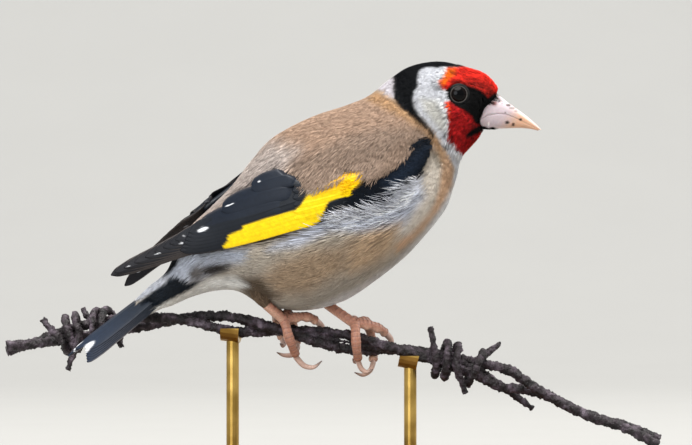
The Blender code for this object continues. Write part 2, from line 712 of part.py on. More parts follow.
def toe_radii(count):
    """A toe's thickness along it, with a pad at each joint and a full end."""
    along = np.linspace(0, 1, count)
    return TOE_RADIUS * (1.02 - 0.1 * along + 0.09 * np.cos(along * 5 * math.pi))


def make_leg(side, where, helpers):
    """The bare shank, the foot with its four toes, and a claw on each toe."""
    leg = LEGS[side]
    knee, joint = np.array(leg["thigh"][1]), np.array(leg["joint"])
    down = (joint - knee) / np.linalg.norm(joint - knee)
    shank_end = joint - down * (ANKLE + GAP * 1.1)
    start = knee + down * GAP * 4.5
    shank = tube(f"tarsus_{side}", [start + (shank_end - start) * u for u in (0, 0.3, 0.7, 1)],
                 (LEG_RADIUS * 1.1, LEG_RADIUS, LEG_RADIUS, LEG_RADIUS * 1.08), where, 3)
    finish(shank, f"tarsus_{side}", "leg_skin")
    foot = tube(f"foot_{side}", [joint - down * ANKLE, joint - down * 0.6, joint + down * 0.7],
                (LEG_RADIUS * 1.05, LEG_RADIUS * 1.2, LEG_RADIUS * 0.9), where, 3)
    toes = []
    for i, (toe, claw) in enumerate(leg["toes"]):
        path = smooth_path(toe, 9)
        toes.append(tube("toe", path, toe_radii(len(path)), helpers, 1))
        claw_path = smooth_path(claw, 6)
        heading = path[-1] - path[-2]
        claw_path[0] = path[-1] + heading / np.linalg.norm(heading) * GAP * 1.7
        radii = CLAW_RADIUS * (1 - np.linspace(0, 1, len(claw_path)) ** 1.5 * 0.8)
        name = f"claw_{side}_{i + 1}"
        finish(tube(name, claw_path, radii, where, 1), name, "claw")
    union(foot, toes, f"foot_{side}")
    finish(foot, f"foot_{side}", "leg_skin")


def wire_middle(x):
    """The middle of the twisted wire at x."""
    route = np.array(WIRE_ROUTE)
    y, z = spline(route[:, 0], route[:, 1:], x)
    return np.array([x, y, z])


def wire_heading(x):
    run = wire_middle(x + 0.5) - wire_middle(x - 0.5)
    return run / np.linalg.norm(run)


def wire_axes(x):
    """Two directions square to the wire at x: across it, and up."""
    ahead = wire_heading(x)
    across = np.cross([0, 0, 1], ahead)
    across /= np.linalg.norm(across)
    return across, np.cross(ahead, across)


def make_perch(where):
    """Two strands of rusty wire twisted round each other, and four barbs in two knots."""
    rng = random.Random(7)
    first, last = WIRE_ROUTE[0][0], WIRE_ROUTE[-1][0]
    for strand in (0, 1):
        path, radii = [], []
        for x in np.linspace(first, last, 48):
            across, up = wire_axes(x)
            turn = math.radians(float(spline(TWIST_X, TWIST_DEGREES, x)) + 180 * strand)
            out = float(spline(SPREAD_X, SPREAD, x))
            offset = math.cos(turn) * across + math.sin(turn) * up
            path.append(wire_middle(x) + offset * out)
            radii.append(STRAND_RADIUS * rng.uniform(0.93, 1.0))
        name = f"perch_strand_{strand + 1}"
        finish(tube(name, path, radii, where, 2), name, "rusty_wire")
    for name, x, turns, start, first_tip, last_tip in BARBS:
        make_barb(name, x, turns, start, first_tip, last_tip, where)


def make_barb(name, x, turns, start, first_tip, last_tip, where):
    """A short wire wound round the strands, with its two cut ends standing out."""
    reach = SPREAD[0] + STRAND_RADIUS + BARB_RADIUS + GAP * 1.6
    coil = []
    count = round(abs(turns) * 9)
    for i in range(count + 1):
        here = x + BARB_PITCH * abs(turns) * i / count
        across, up = wire_axes(here)
        turn = math.radians(start) + 2 * math.pi * turns * i / count
        coil.append(wire_middle(here) + reach * (math.cos(turn) * across + math.sin(turn) * up))
    first_tip, last_tip = (
        np.array([x, wire_middle(x)[1] + y, z]) for x, y, z in (first_tip, last_tip)
    )
    lead_in = [first_tip + (coil[0] - first_tip) * u for u in (0.0, 0.4)]
    lead_out = [coil[-1] + (last_tip - coil[-1]) * u for u in (0.6, 1.0)]
    path = lead_in + coil + lead_out
    radii = [BARB_RADIUS * r for r in [0.75, 0.95] + [1.0] * len(coil) + [0.95, 0.75]]
    finish(tube(name, path, radii, where, 1), name, "rusty_wire")


def make_base(where):
    """A flat plinth with rounded corners."""
    base = box("stand_base", (0, 0, BASE_SIZE[2] / 2), BASE_SIZE, where)
    work = bmesh.new()
    work.from_mesh(base.data)
    upright = [e for e in work.edges if abs(e.verts[0].co.z - e.verts[1].co.z) > MM]
    bmesh.ops.bevel(work, geom=upright, offset=BASE_CORNER * MM, segments=6, profile=0.5,
                    affect="EDGES")
    top = [e for e in work.edges if min(v.co.z for v in e.verts) > (BASE_SIZE[2] - 0.1) * MM]
    bmesh.ops.bevel(work, geom=top, offset=1.2 * MM, segments=2, profile=0.5, affect="EDGES")
    work.to_mesh(base.data)
    work.free()
    return finish(base, "stand_base", "base_wood")


def make_rods(where, helpers):
    """A rod under each end of the perch, with a round foot and a saddle for the wire."""
    for i, x in enumerate(ROD_X):
        middle, ahead = wire_middle(x), wire_heading(x)
        inner = float(spline(SPREAD_X, SPREAD, x)) + STRAND_RADIUS + GAP
        outer = inner + SADDLE_WALL
        floor = BASE_SIZE[2] + GAP
        rod_top = middle[2] - inner - 0.4
        y = middle[1]
        rod = cylinder("rod", (x, y, (floor + rod_top) / 2), (0, 0, 1), ROD_RADIUS,
                       rod_top - floor, where, 16)
        flange = cylinder("flange", (x, y, floor + FLANGE_HEIGHT / 2), (0, 0, 1),
                          FLANGE_RADIUS, FLANGE_HEIGHT, helpers, 24)
        saddle = cylinder("saddle", middle, ahead, outer, SADDLE_LENGTH, helpers, 24)
        union(rod, [flange, saddle], f"rod_{i}")
        cut(rod, cylinder("wire_way", middle, ahead, inner, SADDLE_LENGTH * 3, helpers, 24))
        cut(rod, box("open_top", middle + (0, 0, 10 - inner * 0.3), (20, 20, 20), helpers))
        finish(rod, f"stand_rod_{i + 1}", "rod_brass")


def build():
    clear_scene()
    parts = collection("goldfinch")
    helpers = collection("cutters", helper=True)
    make_head(parts, helpers)
    make_eyes(parts)
    make_bill(parts, helpers)
    make_body(parts, helpers)
    make_wing(-1, "wing_right", parts, helpers)
    make_wing(1, "wing_left", parts, helpers)
    make_tail(parts, helpers)
    for side in ("right", "left"):
        make_leg(side, parts, helpers)
    make_perch(parts)
    make_base(parts)
    make_rods(parts, helpers)


build()
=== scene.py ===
"""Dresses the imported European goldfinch: plumage, bill, eyes, legs, rusty wire and stand.

Sizes are named in millimetres and turned to metres where a mesh is made. Places on the
bird that were read from the photograph are written in its pixels, seen from its side.
"""
import math

import bpy
import numpy as np
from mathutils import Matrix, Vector


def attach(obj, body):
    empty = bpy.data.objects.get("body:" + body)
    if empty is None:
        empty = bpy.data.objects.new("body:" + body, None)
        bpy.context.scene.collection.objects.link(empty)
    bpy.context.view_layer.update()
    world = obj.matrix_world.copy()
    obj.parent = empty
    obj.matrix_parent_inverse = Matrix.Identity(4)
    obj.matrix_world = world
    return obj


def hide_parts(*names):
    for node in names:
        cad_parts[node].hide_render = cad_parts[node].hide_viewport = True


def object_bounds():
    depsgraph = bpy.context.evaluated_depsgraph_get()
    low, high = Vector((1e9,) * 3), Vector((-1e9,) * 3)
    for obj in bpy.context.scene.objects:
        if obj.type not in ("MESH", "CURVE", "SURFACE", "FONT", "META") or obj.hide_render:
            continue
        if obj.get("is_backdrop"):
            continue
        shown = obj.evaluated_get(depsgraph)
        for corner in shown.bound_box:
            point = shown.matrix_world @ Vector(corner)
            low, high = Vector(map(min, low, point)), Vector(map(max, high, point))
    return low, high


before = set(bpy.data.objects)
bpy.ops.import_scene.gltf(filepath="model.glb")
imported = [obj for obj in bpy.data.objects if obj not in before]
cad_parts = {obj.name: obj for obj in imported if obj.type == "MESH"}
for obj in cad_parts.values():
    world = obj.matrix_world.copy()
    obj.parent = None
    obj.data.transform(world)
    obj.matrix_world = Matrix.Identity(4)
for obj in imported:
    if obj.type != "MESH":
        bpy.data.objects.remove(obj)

MM = 0.001
CAD_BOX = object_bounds()
# The photograph: its size in pixels, its scale, and the pixels where x and z are 0.
PHOTO_WIDTH, PHOTO_HEIGHT, PIXELS_PER_MM = 692, 445, 4.2
LEVEL_X, LEVEL_Z = 346.0, 480.0

# The body: top point (x, z), low point (x, z) and half width of each slice, from the
# face back to the tail's root. The last three run out over the tail feathers.
BODY_SLICES = np.array([
    (36.3, 92.8, 33.0, 83.6, 3.9), (34.8, 94.9, 31.7, 82.0, 5.9), (32.5, 96.8, 29.8, 79.8, 7.4),
    (28.7, 98.0, 28.0, 77.9, 8.6), (24.0, 99.4, 27.3, 76.6, 9.2), (19.5, 99.4, 26.8, 74.8, 9.6),
    (14.8, 98.2, 26.2, 71.9, 10.1), (11.2, 95.9, 25.2, 68.8, 11.0), (8.3, 93.6, 24.1, 65.5, 12.3),
    (5.0, 91.1, 22.0, 62.3, 13.8), (-0.2, 89.0, 18.9, 58.5, 15.3), (-6.7, 86.9, 14.3, 53.5, 16.5),
    (-12.9, 84.1, 7.8, 48.2, 17.0), (-18.3, 80.7, -0.5, 42.8, 16.6),
    (-22.6, 75.8, -9.8, 40.5, 15.0), (-27.4, 69.6, -19.5, 41.8, 12.4),
    (-32.6, 64.4, -25.7, 45.1, 9.8), (-37.3, 59.8, -31.2, 45.2, 7.4),
    (-40.6, 53.8, -36.7, 43.8, 5.6), (-43.0, 49.0, -41.4, 41.9, 4.2),
    (-46.9, 45.6, -43.6, 41.5, 4.0), (-49.8, 42.8, -47.1, 39.8, 3.7),
    (-52.6, 40.2, -50.8, 38.0, 3.4),
])
LAST_SLICE = len(BODY_SLICES) - 1.0
TAIL_SLICE = 19.0  # where the body ends and the tail begins
ROWS_A_SLICE, COLUMNS = 20, 360
GAPE_DEPTH = 1.6  # how far the face falls back beside the bill
RUMP_TILT = 0.42  # how steeply the last slices lean over with the tail

EYE, EYE_RADIUS, EYE_PROUD = (26.6, 91.6), 2.75, 0.15
EYE_AXIS = (0.05, 0.998, 0.02)
HALF_WIDTH_AT_EYES = 8.27
BARE_ROUND_EYE = 2.2  # how near its middle no feather grows
# The lids, from the innermost: radius, thickness, how far out each lies, and colour.
EYELIDS = ((1.93, 0.13, 2.04, "#45413E"), (2.18, 0.2, 1.94, "#0A0A0A"),
           (2.42, 0.15, 1.88, "#1C1B1B"))

# The bill from inside the face to its tip: culmen, mouth line and keel as (x, z).
CULMEN = ((33.4, 92.7), (34.6, 92.6), (36.0, 91.9), (38.8, 89.7), (42.4, 87.1), (44.8, 85.1),
          (46.5, 83.4))
MOUTH_LINE = ((30.6, 85.2), (32.6, 86.2), (34.0, 86.8), (37.5, 87.1), (40.6, 86.0), (43.8, 84.5),
              (46.3, 83.3))
KEEL = ((30.4, 84.3), (31.4, 84.2), (32.8, 83.7), (35.1, 83.6), (40.6, 83.8), (43.8, 83.6),
        (46.0, 83.1))
BILL_HALF_WIDTH = (4.3, 3.9, 3.5, 2.85, 1.95, 1.1, 0.2)
NOSTRIL, NOSTRIL_RADIUS, NOSTRIL_DEPTH = (36.4, 90.0), 0.5, 0.4
BILL_SPECKS = (  # place (x, z), radii and colour of the food that sticks to the bill
    ((38.6, 89.2), (0.6, 0.3), "#5B504D"), ((39.5, 88.5), (0.8, 0.3), "#8F8380"),
    ((41.5, 85.8), (0.36, 0.3), "#1B1513"), ((38.3, 85.1), (0.5, 0.4), "#201816"),
    ((39.8, 84.6), (0.36, 0.42), "#4F3326"), ((37.8, 87.4), (0.2, 0.16), "#5A4A44"),
    ((40.4, 87.8), (0.5, 0.2), "#94807B"), ((33.9, 84.7), (0.2, 0.5), "#F4EDEB"),
)

# A folded wing lies on a curved sheet: s along it from the shoulder, v across it, upwards.
SHOULDERS = {-1: (18.8, 78.6), 1: (18.65, 82.75)}
WING_ANGLES = {-1: math.radians(21.4), 1: math.radians(27.0)}
SHEET_S = (-4.0, 0.0, 10.0, 20.0, 30.0, 36.0, 46.0, 54.0, 62.0, 70.0, 82.0)
WING_BOWS = {-1: (0.0,) * 11, 1: (0.0, 0.0, 0.4, 1.6, 3.0, 3.6, 4.3, 4.7, 4.2, 3.0, 0.0)}
SHEET_HALF_BREADTH = (9.0, 10.7, 14.4, 16.0, 16.0, 15.2, 12.4, 9.9, 7.7, 5.6, 3.4)
SHEET_MIDDLE = (-1.5, -1.5, -2.0, -3.5, -4.9, -5.7, -5.1, -4.8, -3.8, -3.0, -1.0)
SHEET_REACH = (17.5, 17.5, 18.7, 20.8, 20.8, 20.5, 15.8, 11.6, 9.6, 8.0, 7.0)
WING_EDGE_S = (-1.4, 2.0, 6.0, 12.0, 19.0, 28.0, 33.0, 38.0, 44.0, 52.0, 60.0, 70.0, 80.0)
WING_UPPER = (0.6, 0.6, 0.2, 0.2, 1.2, 3.6, 6.4, 7.2, 6.0, 3.8, 2.6, 1.5, 0.0)
WING_LOWER = (-0.8, -3.6, -5.6, -7.2, -7.6, -7.2, -6.8, -6.0, -5.0, -3.6, -2.4, -1.9, -0.6)
ARM_END, ARM_THICKNESS = 55.0, 1.7
COAT_OVER_ARM = 1.0  # how high the body's feathers lie over a folded wing
MARKED_LEVEL = 2.0  # how high over the sheet its markings are read
WING_TUCK = 2.2  # how deep a wing sinks where the body's feathers cover it
SHEET_S_RANGE, SHEET_V_RANGE, SHEET_STEP = (-4.0, 82.0), (-12.0, 13.0), 0.25

TAIL_ROOT, TAIL_TIP = Vector((-41.0, 0.0, 48.4)), Vector((-64.6, -3.2, 30.0))
TAIL_ROLL = math.radians(-24.0)
TAIL_FORK = 2.4  # how much shorter the middle pair is than the outer one

# What shows of the folded right wing, as an outline in the photograph's pixels.
WING_WINDOW = (
    (431, 139), (423, 139), (413, 149), (403, 160), (392, 169), (376, 181), (366, 184), (362, 180),
    (362, 172), (352, 174), (341, 178), (332, 183), (324, 187), (316, 190), (309, 196), (304, 191),
    (300, 184), (294, 179), (284, 177), (277, 171), (277, 161), (262, 172), (248, 180), (232, 191),
    (216, 205), (198, 218), (189, 227), (170, 238), (155, 246), (130, 256), (105, 268), (108, 282),
    (130, 278), (152, 271), (176, 259), (225, 253), (242, 251), (260, 248), (286, 240), (305, 232),
    (320, 224), (328, 216), (341, 212), (354, 210), (367, 208), (384, 202), (394, 197), (398, 186),
    (408, 179), (420, 178), (427, 162), (432, 150),
)

# The markings, as (colour, softness in mm, outline in the photograph's pixels).
BODY_MARKINGS = (
    ("#B0947F", 1.4, (
        (372, 92), (395, 103), (429, 130), (446, 158), (440, 150), (420, 150), (400, 165),
        (330, 190), (280, 186), (200, 232), (150, 258), (140, 200), (250, 110), (330, 60))),
    ("#BFB2AA", 3.0, (
        (300, 150), (290, 172), (240, 200), (190, 230), (200, 200), (240, 160), (270, 140))),
    ("#998474", 2.0, (
        (430, 136), (408, 130), (380, 128), (350, 136), (318, 150), (290, 168), (282, 182),
        (300, 192), (330, 192), (368, 194), (412, 170), (434, 148))),
    ("#8C7767", 1.6, (
        (431, 138), (418, 134), (400, 140), (384, 160), (372, 186), (392, 178), (412, 162),
        (432, 148))),
    ("#B9946F", 1.0, (
        (376, 90), (396, 102), (414, 114), (432, 130), (441, 147), (450, 170), (443, 168),
        (434, 148), (424, 134), (405, 120), (386, 110), (368, 100))),
    ("#E8E6E6", 1.4, (
        (463, 150), (500, 150), (470, 230), (430, 262), (380, 300), (330, 320), (300, 316),
        (360, 286), (396, 262), (424, 232), (441, 202), (452, 178))),
    ("#D6B292", 0.9, (
        (445, 150), (453, 165), (453, 182), (446, 197), (438, 210), (424, 228), (410, 242),
        (398, 252), (396, 244), (408, 232), (422, 218), (434, 202), (438, 188), (440, 170))),
    ("#DDD3C6", 1.3, (
        (430, 160), (439, 170), (437, 190), (430, 212), (412, 232), (396, 238), (400, 215),
        (412, 190), (424, 176))),
    ("#C2C6D2", 1.6, (
        (418, 176), (424, 196), (404, 226), (372, 232), (332, 230), (300, 246), (270, 250),
        (300, 226), (340, 208), (385, 192))),
    ("#DCDEE6", 0.8, (
        (412, 176), (420, 182), (408, 206), (384, 214), (352, 222), (330, 224), (326, 214),
        (354, 208), (384, 200), (402, 186))),
    ("#BFA486", 2.2, (
        (400, 222), (394, 248), (374, 264), (352, 272), (344, 262), (350, 240), (372, 230))),
    # Belly: partly the belly's own buff and partly painted shade under the body.
    ("#AA9379", 2.6, (
        (350, 244), (346, 270), (310, 292), (280, 296), (262, 280), (280, 262), (310, 250))),
    # Dark brown round the tops of the legs: partly the thighs' own colour, partly painted shade
    # under the belly.
    ("#5F5142", 1.6, (
        (238, 278), (262, 276), (282, 296), (262, 308), (246, 294))),
    ("#E6E4DE", 1.2, (
        (236, 276), (250, 286), (200, 302), (150, 318), (120, 330), (140, 306), (160, 304),
        (194, 288), (214, 277))),
    ("#B6BBC6", 1.4, (
        (250, 250), (246, 262), (224, 266), (204, 278), (186, 284), (164, 288), (144, 298),
        (130, 300), (140, 262), (176, 240), (200, 246))),
    ("#BBBDC4", 0.6, (
        (172, 277), (170, 284), (156, 288), (147, 294), (140, 300), (130, 296), (145, 280),
        (160, 270))),
    ("#3A3634", 0.9, (
        (234, 264), (228, 271), (212, 275), (202, 272), (206, 266), (218, 263))),
    ("#6B6765", 1.0, (
        (206, 268), (204, 278), (194, 280), (190, 272), (198, 264))),
    ("#141A21", 0.5, (
        (204, 279), (190, 281.5), (180, 276), (171, 276), (166, 284), (158, 288), (149, 295),
        (138, 303), (134, 322), (150, 315), (158, 307), (175, 296.5), (194, 287))),
    # Near-black band along the primaries' lower edge: painted shadow that the primaries cast on the
    # rump.
    ("#0D1013", 0.5, (
        (181, 256), (178, 264), (171, 272), (163, 277), (160, 272), (166, 264), (172, 256))),
    ("#D8D9DE", 0.5, (
        (424, 60), (450, 66), (447, 71), (444, 77), (438, 84), (441, 90), (448, 94), (449, 104),
        (447, 112), (449, 122), (448, 134), (447, 141), (455, 148), (463, 152), (480, 156),
        (466, 186), (452, 182), (455, 170), (449, 158), (441, 145), (432, 131), (416, 114),
        (408, 100), (412, 80))),
    ("#D5D3CC", 1.2, (
        (420, 100), (436, 102), (444, 116), (446, 132), (438, 130), (424, 112))),
    ("#CFC9CE", 0.5, (
        (394, 76), (394, 90), (396, 99), (388, 97), (379, 89), (380, 70))),
)
HEAD_MARKINGS = (
    ("#0E1013", 0.35, (
        (393, 79), (384, 70), (400, 40), (490, 40), (471, 68.6), (460, 69), (453.5, 68.4),
        (446.6, 68.6), (441.2, 67.4), (436.6, 68.8), (432, 67.8), (425.9, 68), (421.3, 69.6),
        (418.3, 73), (417, 80.6), (417.5, 87.5), (412.8, 92.8), (412, 101), (413.7, 108),
        (418.5, 116.5), (422.5, 121), (427.5, 127.5), (433.5, 135), (432, 138), (423.4, 128.6),
        (417.4, 123.6), (412, 118.8), (405, 112.8), (395.5, 103), (393.6, 92.8))),
    ("#D42A1E", 0.35, (
        (468, 68), (480, 50), (520, 70), (520, 98), (500, 98), (494, 98), (491, 100), (487.1, 101),
        (483.3, 97), (478.7, 93), (470.3, 90.2), (466.5, 89.2), (461.1, 87.1), (453.5, 87.2),
        (448.9, 90), (445, 91.4), (441.2, 90.4), (438.1, 83), (442.7, 79.8), (445, 75.2),
        (447.3, 68.4), (456.5, 68.8), (461.1, 68))),
    ("#8E1A12", 0.9, (
        (494, 100), (494, 90), (488, 84), (476, 82), (466, 80), (456, 80), (450, 84), (452, 90),
        (466, 92), (480, 98))),
    ("#F7701A", 0.6, (
        (446, 70), (454.5, 70), (453, 76), (448.6, 80), (445, 84), (442, 87), (438, 83),
        (443, 79))),
    ("#050505", 0.35, (
        (444.5, 91), (447, 88), (451, 85.5), (458, 84.3), (464, 85.4), (470.3, 88), (478.7, 91.2),
        (483.3, 95), (487.1, 98.2), (491, 95.4), (494, 92.8), (504, 93), (504, 112), (496, 130),
        (480, 129), (472, 126), (469, 122), (467, 119), (464, 116), (460, 113.5), (456, 111),
        (451, 108.6), (448, 105), (446, 100))),
    ("#A4191A", 0.35, (
        (444.7, 104), (448.9, 103.4), (452.7, 106.4), (458, 108.7), (462.6, 111), (467.2, 114.1),
        (470.3, 117.1), (472.6, 121.7), (475, 124.4), (482, 126), (490, 126), (500, 140),
        (470, 160), (456.5, 152.2), (453.5, 147.4), (451.2, 145), (445.8, 142), (446.8, 134.2),
        (447.4, 126.5), (446.8, 120.4), (446.3, 113.5), (444.4, 110))),
    ("#D8401C", 0.4, (
        (443.5, 103), (447.4, 103), (448.6, 111), (449, 121), (447.8, 122), (447, 113),
        (444, 109))),
    ("#B22A14", 0.5, (
        (484, 131), (492, 131), (470, 150), (464, 152), (474, 140))),
    ("#0B0908", 0.4, (
        (464.5, 136), (469, 131), (475, 127.2), (482, 124.6), (498, 122), (498, 130.4),
        (488, 130.8), (480, 132.6), (471, 137), (466, 139.4))),
)
WING_MARKINGS = (
    ("#F2CC00", 0.2, (
        (366, 168), (345, 160), (330, 170), (316, 188), (309, 194), (306, 199), (302, 205),
        (296.4, 210.3), (281, 214.5), (265.6, 218.8), (244.5, 225.8), (243.1, 229.6), (229.1, 235),
        (228.4, 241), (223.5, 246.4), (227.5, 250), (240, 249.5), (260, 245), (286.6, 238),
        (312, 230), (321.5, 219), (324.6, 210.6), (328.2, 202.5), (337, 199), (353, 195.4),
        (352, 191.5), (361, 182))),
    ("#E6B000", 1.2, (
        (366, 168), (345, 160), (330, 170), (312, 185), (316, 196), (330, 194), (350, 190),
        (361, 182))),
    # Lighter blue over the black lesser coverts: painted blue sheen.
    ("#1B2533", 1.8, (
        (427, 148), (406, 164), (384, 182), (392, 190), (408, 180), (420, 170))),
)
# White tips of the wing feathers: place (s, v) and radii along and across, in mm.
WHITE_TIPS = (
    ((55.4, 0.75), (1.35, 0.33)), ((46.9, 3.6), (1.25, 0.1)), ((38.7, 6.1), (0.36, 0.14)),
    ((60.6, 1.3), (0.17, 0.22)), ((61.5, 0.0), (0.45, 0.15)), ((67.7, -0.1), (0.7, 0.1)),
    ((75.4, -0.1), (0.65, 0.09)),
)

# Where feathers don't lie straight back: how far they turn upwards, softness, outline.
LIES = (
    (0.8, 2.0, (
        (425, 168), (424, 196), (404, 226), (372, 236), (332, 234), (296, 240), (320, 218),
        (340, 206), (384, 190), (412, 172))),
    (-0.25, 1.0, (
        (446, 100), (475, 118), (480, 130), (462, 153), (444, 140))),
    (-0.6, 4.0, (
        (434, 142), (404, 130), (350, 138), (296, 160), (284, 182), (330, 196), (376, 190),
        (412, 168))),
)
FLANK = LIES[0][2]
WISPS = ((426, 180), (412, 204), (384, 212), (372, 210), (392, 198), (400, 188), (412, 180))

# Each leg as points (x, y, z): its thigh, then each toe and its claw, the hind toe first.
LEGS = {
    "right": (
        ((-21.8, -6.0, 46.6), (-18.6, -5.3, 41.5)),
        ((-14.6, -2.6, 38.0), (-14.0, -4.3, 35.5), (-13.0, -3.9, 32.4), (-11.9, -2.0, 29.6)),
        ((-11.7, -1.7, 29.1), (-10.0, -1.2, 27.3), (-7.7, -1.1, 26.9), (-5.7, -1.4, 28.4)),
        ((-14.6, -2.6, 38.0), (-12.0, -1.2, 38.7), (-9.3, 0.2, 38.8), (-7.0, 2.0, 37.8)),
        ((-6.6, 2.4, 37.4), (-5.7, 3.5, 36.4), (-5.2, 4.2, 35.0), (-5.3, 4.4, 33.6)),
        ((-14.6, -2.6, 38.0), (-14.0, 0.8, 39.6), (-13.0, 3.9, 37.9), (-12.3, 4.6, 34.7),
         (-11.7, 3.4, 32.1)),
        ((-11.6, 2.8, 31.2), (-12.7, 1.3, 29.8), (-14.8, 0.4, 29.7), (-16.5, -0.4, 30.4)),
        ((-14.6, -2.6, 38.0), (-16.2, 0.6, 39.7), (-16.6, 3.9, 38.2), (-16.0, 4.6, 35.7),
         (-15.2, 3.5, 33.5)),
        ((-15.0, 3.2, 33.0), (-14.8, 1.9, 32.3), (-15.1, 0.7, 32.0), (-15.7, -0.3, 32.5)),
    ),
    "left": (
        ((-7.2, 4.2, 46.4), (-4.2, 2.7, 41.5)),
        ((2.2, -1.9, 37.1), (2.3, -4.2, 34.6), (2.5, -4.2, 31.4), (2.9, -2.6, 28.6)),
        ((3.0, -2.3, 28.1), (3.7, -1.8, 26.5), (5.0, -1.6, 25.8), (6.4, -1.8, 26.4)),
        ((2.2, -1.9, 37.1), (4.9, -0.9, 37.0), (7.5, 0.6, 36.2), (9.5, 2.6, 34.8)),
        ((9.8, 2.9, 34.5), (10.7, 3.8, 33.4), (11.0, 4.3, 32.1), (10.9, 4.5, 30.8)),
        ((2.2, -1.9, 37.1), (4.6, 1.5, 37.7), (5.8, 3.9, 34.8), (6.4, 4.0, 31.2),
         (6.5, 2.5, 28.0)),
        ((6.4, 2.2, 27.5), (5.7, 1.0, 26.0), (4.0, 0.4, 25.0), (2.0, 0.0, 25.6)),
        ((2.2, -1.9, 37.1), (1.9, 1.6, 37.9), (2.2, 4.1, 35.5), (2.4, 4.6, 32.4),
         (2.6, 3.4, 29.9)),
        ((2.6, 3.1, 29.4), (2.4, 2.0, 28.4), (2.0, 0.9, 28.3), (1.6, 0.0, 28.9)),
    ),
}
LEG_RADIUS, TOE_RADIUS, CLAW_RADIUS = 1.12, 1.16, 0.74
THIGH_PLACE, THIGH_RADIUS = (0, 0.35, 0.75, 1.0), (1.4, 1.9, 1.45, 0.85)
LEG_SCUTE, TOE_SCUTE = 1.5, 0.95  # how long each scute is
SCUTE_STEP, PAD_SWELL = 0.12, 0.16  # as shares of a toe's radius

# The wire: the middle of its twist, how far each strand lies from it and turns round it.
WIRE_ROUTE = np.array([
    (-81.5, 10.0, 31.0), (-75.0, 10.9, 32.3), (-64.5, 10.6, 35.0), (-58.0, 9.6, 36.2),
    (-53.0, 8.3, 37.0), (-46.2, 6.0, 37.8), (-40.0, 3.9, 38.3), (-36.0, 2.6, 38.3),
    (-30.5, 1.3, 37.6), (-26.4, 0.7, 37.0), (-20.0, 0.1, 36.2), (-15.0, 0.0, 35.6),
    (-8.0, 0.0, 34.3), (-0.2, 0.0, 32.9), (6.0, 0.0, 31.9), (12.4, 0.0, 31.1), (18.1, 0.0, 29.9),
    (28.3, 0.0, 27.4), (38.0, 0.0, 24.1), (43.8, 0.0, 22.0), (49.5, 0.0, 19.3), (55.2, 0.0, 16.4),
    (61.0, 0.0, 14.3), (66.7, 0.0, 12.6), (72.4, 0.0, 10.0), (74.5, 0.0, 8.9),
])
STRAND_RADIUS = 1.25
TWIST_X = (-82.0, -76.0, -58.0, -40.0, -26.4, -15.0, -0.2, 12.4, 36.0, 45.0, 60.0, 75.0)
TWIST_DEGREES = (-30, 0, 90, 180, 270, 360, 450, 540, 630, 706, 720, 742)
SPREAD_X = (-82, -50, -40, -26, -15, 0, 12, 24, 32, 38, 45, 54, 75)
SPREAD = (1.46, 1.46, 1.48, 1.62, 1.48, 1.66, 1.46, 1.46, 1.6, 2.3, 1.7, 1.46, 1.46)
BARB_RADIUS, BARB_PITCH, BARB_REACH = 0.95, 2.35, 4.14
# Each barb: its node, where it starts, its turns, its first angle and its two ends.
BARBS = (
    ("perch_barb_1", -68.2, 2.0, 195, (-72.8, -3.6, 38.3), (-66.6, -4.4, 26.0)),
    ("perch_barb_2", -61.0, -2.0, 0, (-63.6, 5.0, 40.6), (-54.0, 4.0, 31.2)),
    ("perch_barb_3", 21.6, 2.0, 190, (20.0, -4.0, 36.6), (28.4, -3.4, 20.8)),
    ("perch_barb_4", 29.6, -1.0, 0, (37.0, 8.0, 32.4), (44.6, 3.4, 16.8)),
)
# Rust that has grown between the strands: places along x and how thick it is there.
CAKE_X = (-24.0, -20.0, -12.0, -4.0, -2.0, 0.6, 2.6, 10.0, 20.0, 30.0, 34.0)
CAKE_RADIUS = (0.3, 1.0, 1.15, 1.15, 0.5, 0.5, 1.15, 1.2, 1.2, 1.0, 0.3)


def linear(code):
    """An sRGB hex colour as linear red, green and blue."""
    parts = np.array([int(code[i:i + 2], 16) / 255 for i in (1, 3, 5)])
    return np.where(parts <= 0.04045, parts / 12.92, ((parts + 0.055) / 1.055) ** 2.4)


def rgba(code):
    return (*linear(code), 1.0)


def mixed(first, last, share):
    """Colours between two, by an array of shares from 0 to 1."""
    share = np.asarray(share)[..., None]
    return first * (1 - share) + last * share


def plain(code):
    """A colouring that gives all points one colour."""
    return lambda points: np.tile(linear(code), (len(points), 1))


def seen(pixels):
    """Photo pixels as side-view millimetres (x, z)."""
    pixels = np.asarray(pixels, float)
    return np.stack([(pixels[..., 0] - LEVEL_X) / PIXELS_PER_MM,
                     (LEVEL_Z - pixels[..., 1]) / PIXELS_PER_MM], -1)


def spline(knots, values, at):
    """Values at the places in at, on a smooth curve through values at the knots."""
    knots, values = np.asarray(knots, float), np.asarray(values, float)
    at = np.clip(np.asarray(at, float), knots[0], knots[-1])
    slopes = np.gradient(values, knots, axis=0)
    i = np.clip(np.searchsorted(knots, at, side="right") - 1, 0, len(knots) - 2)
    span = knots[i + 1] - knots[i]
    u = (at - knots[i]) / span
    if values.ndim > 1:
        u, span = u[..., None], span[..., None]
    return (
        (2 * u**3 - 3 * u**2 + 1) * values[i]
        + (u**3 - 2 * u**2 + u) * span * slopes[i]
        + (3 * u**2 - 2 * u**3) * values[i + 1]
        + (u**3 - u**2) * span * slopes[i + 1]
    )


def ease(low, high, value):
    """0 below low, 1 above high, and a smooth rise between them."""
    t = np.clip((np.asarray(value, float) - low) / (high - low), 0, 1)
    return t * t * (3 - 2 * t)


def unit(vectors):
    return vectors / np.maximum(np.linalg.norm(vectors, axis=-1, keepdims=True), 1e-9)


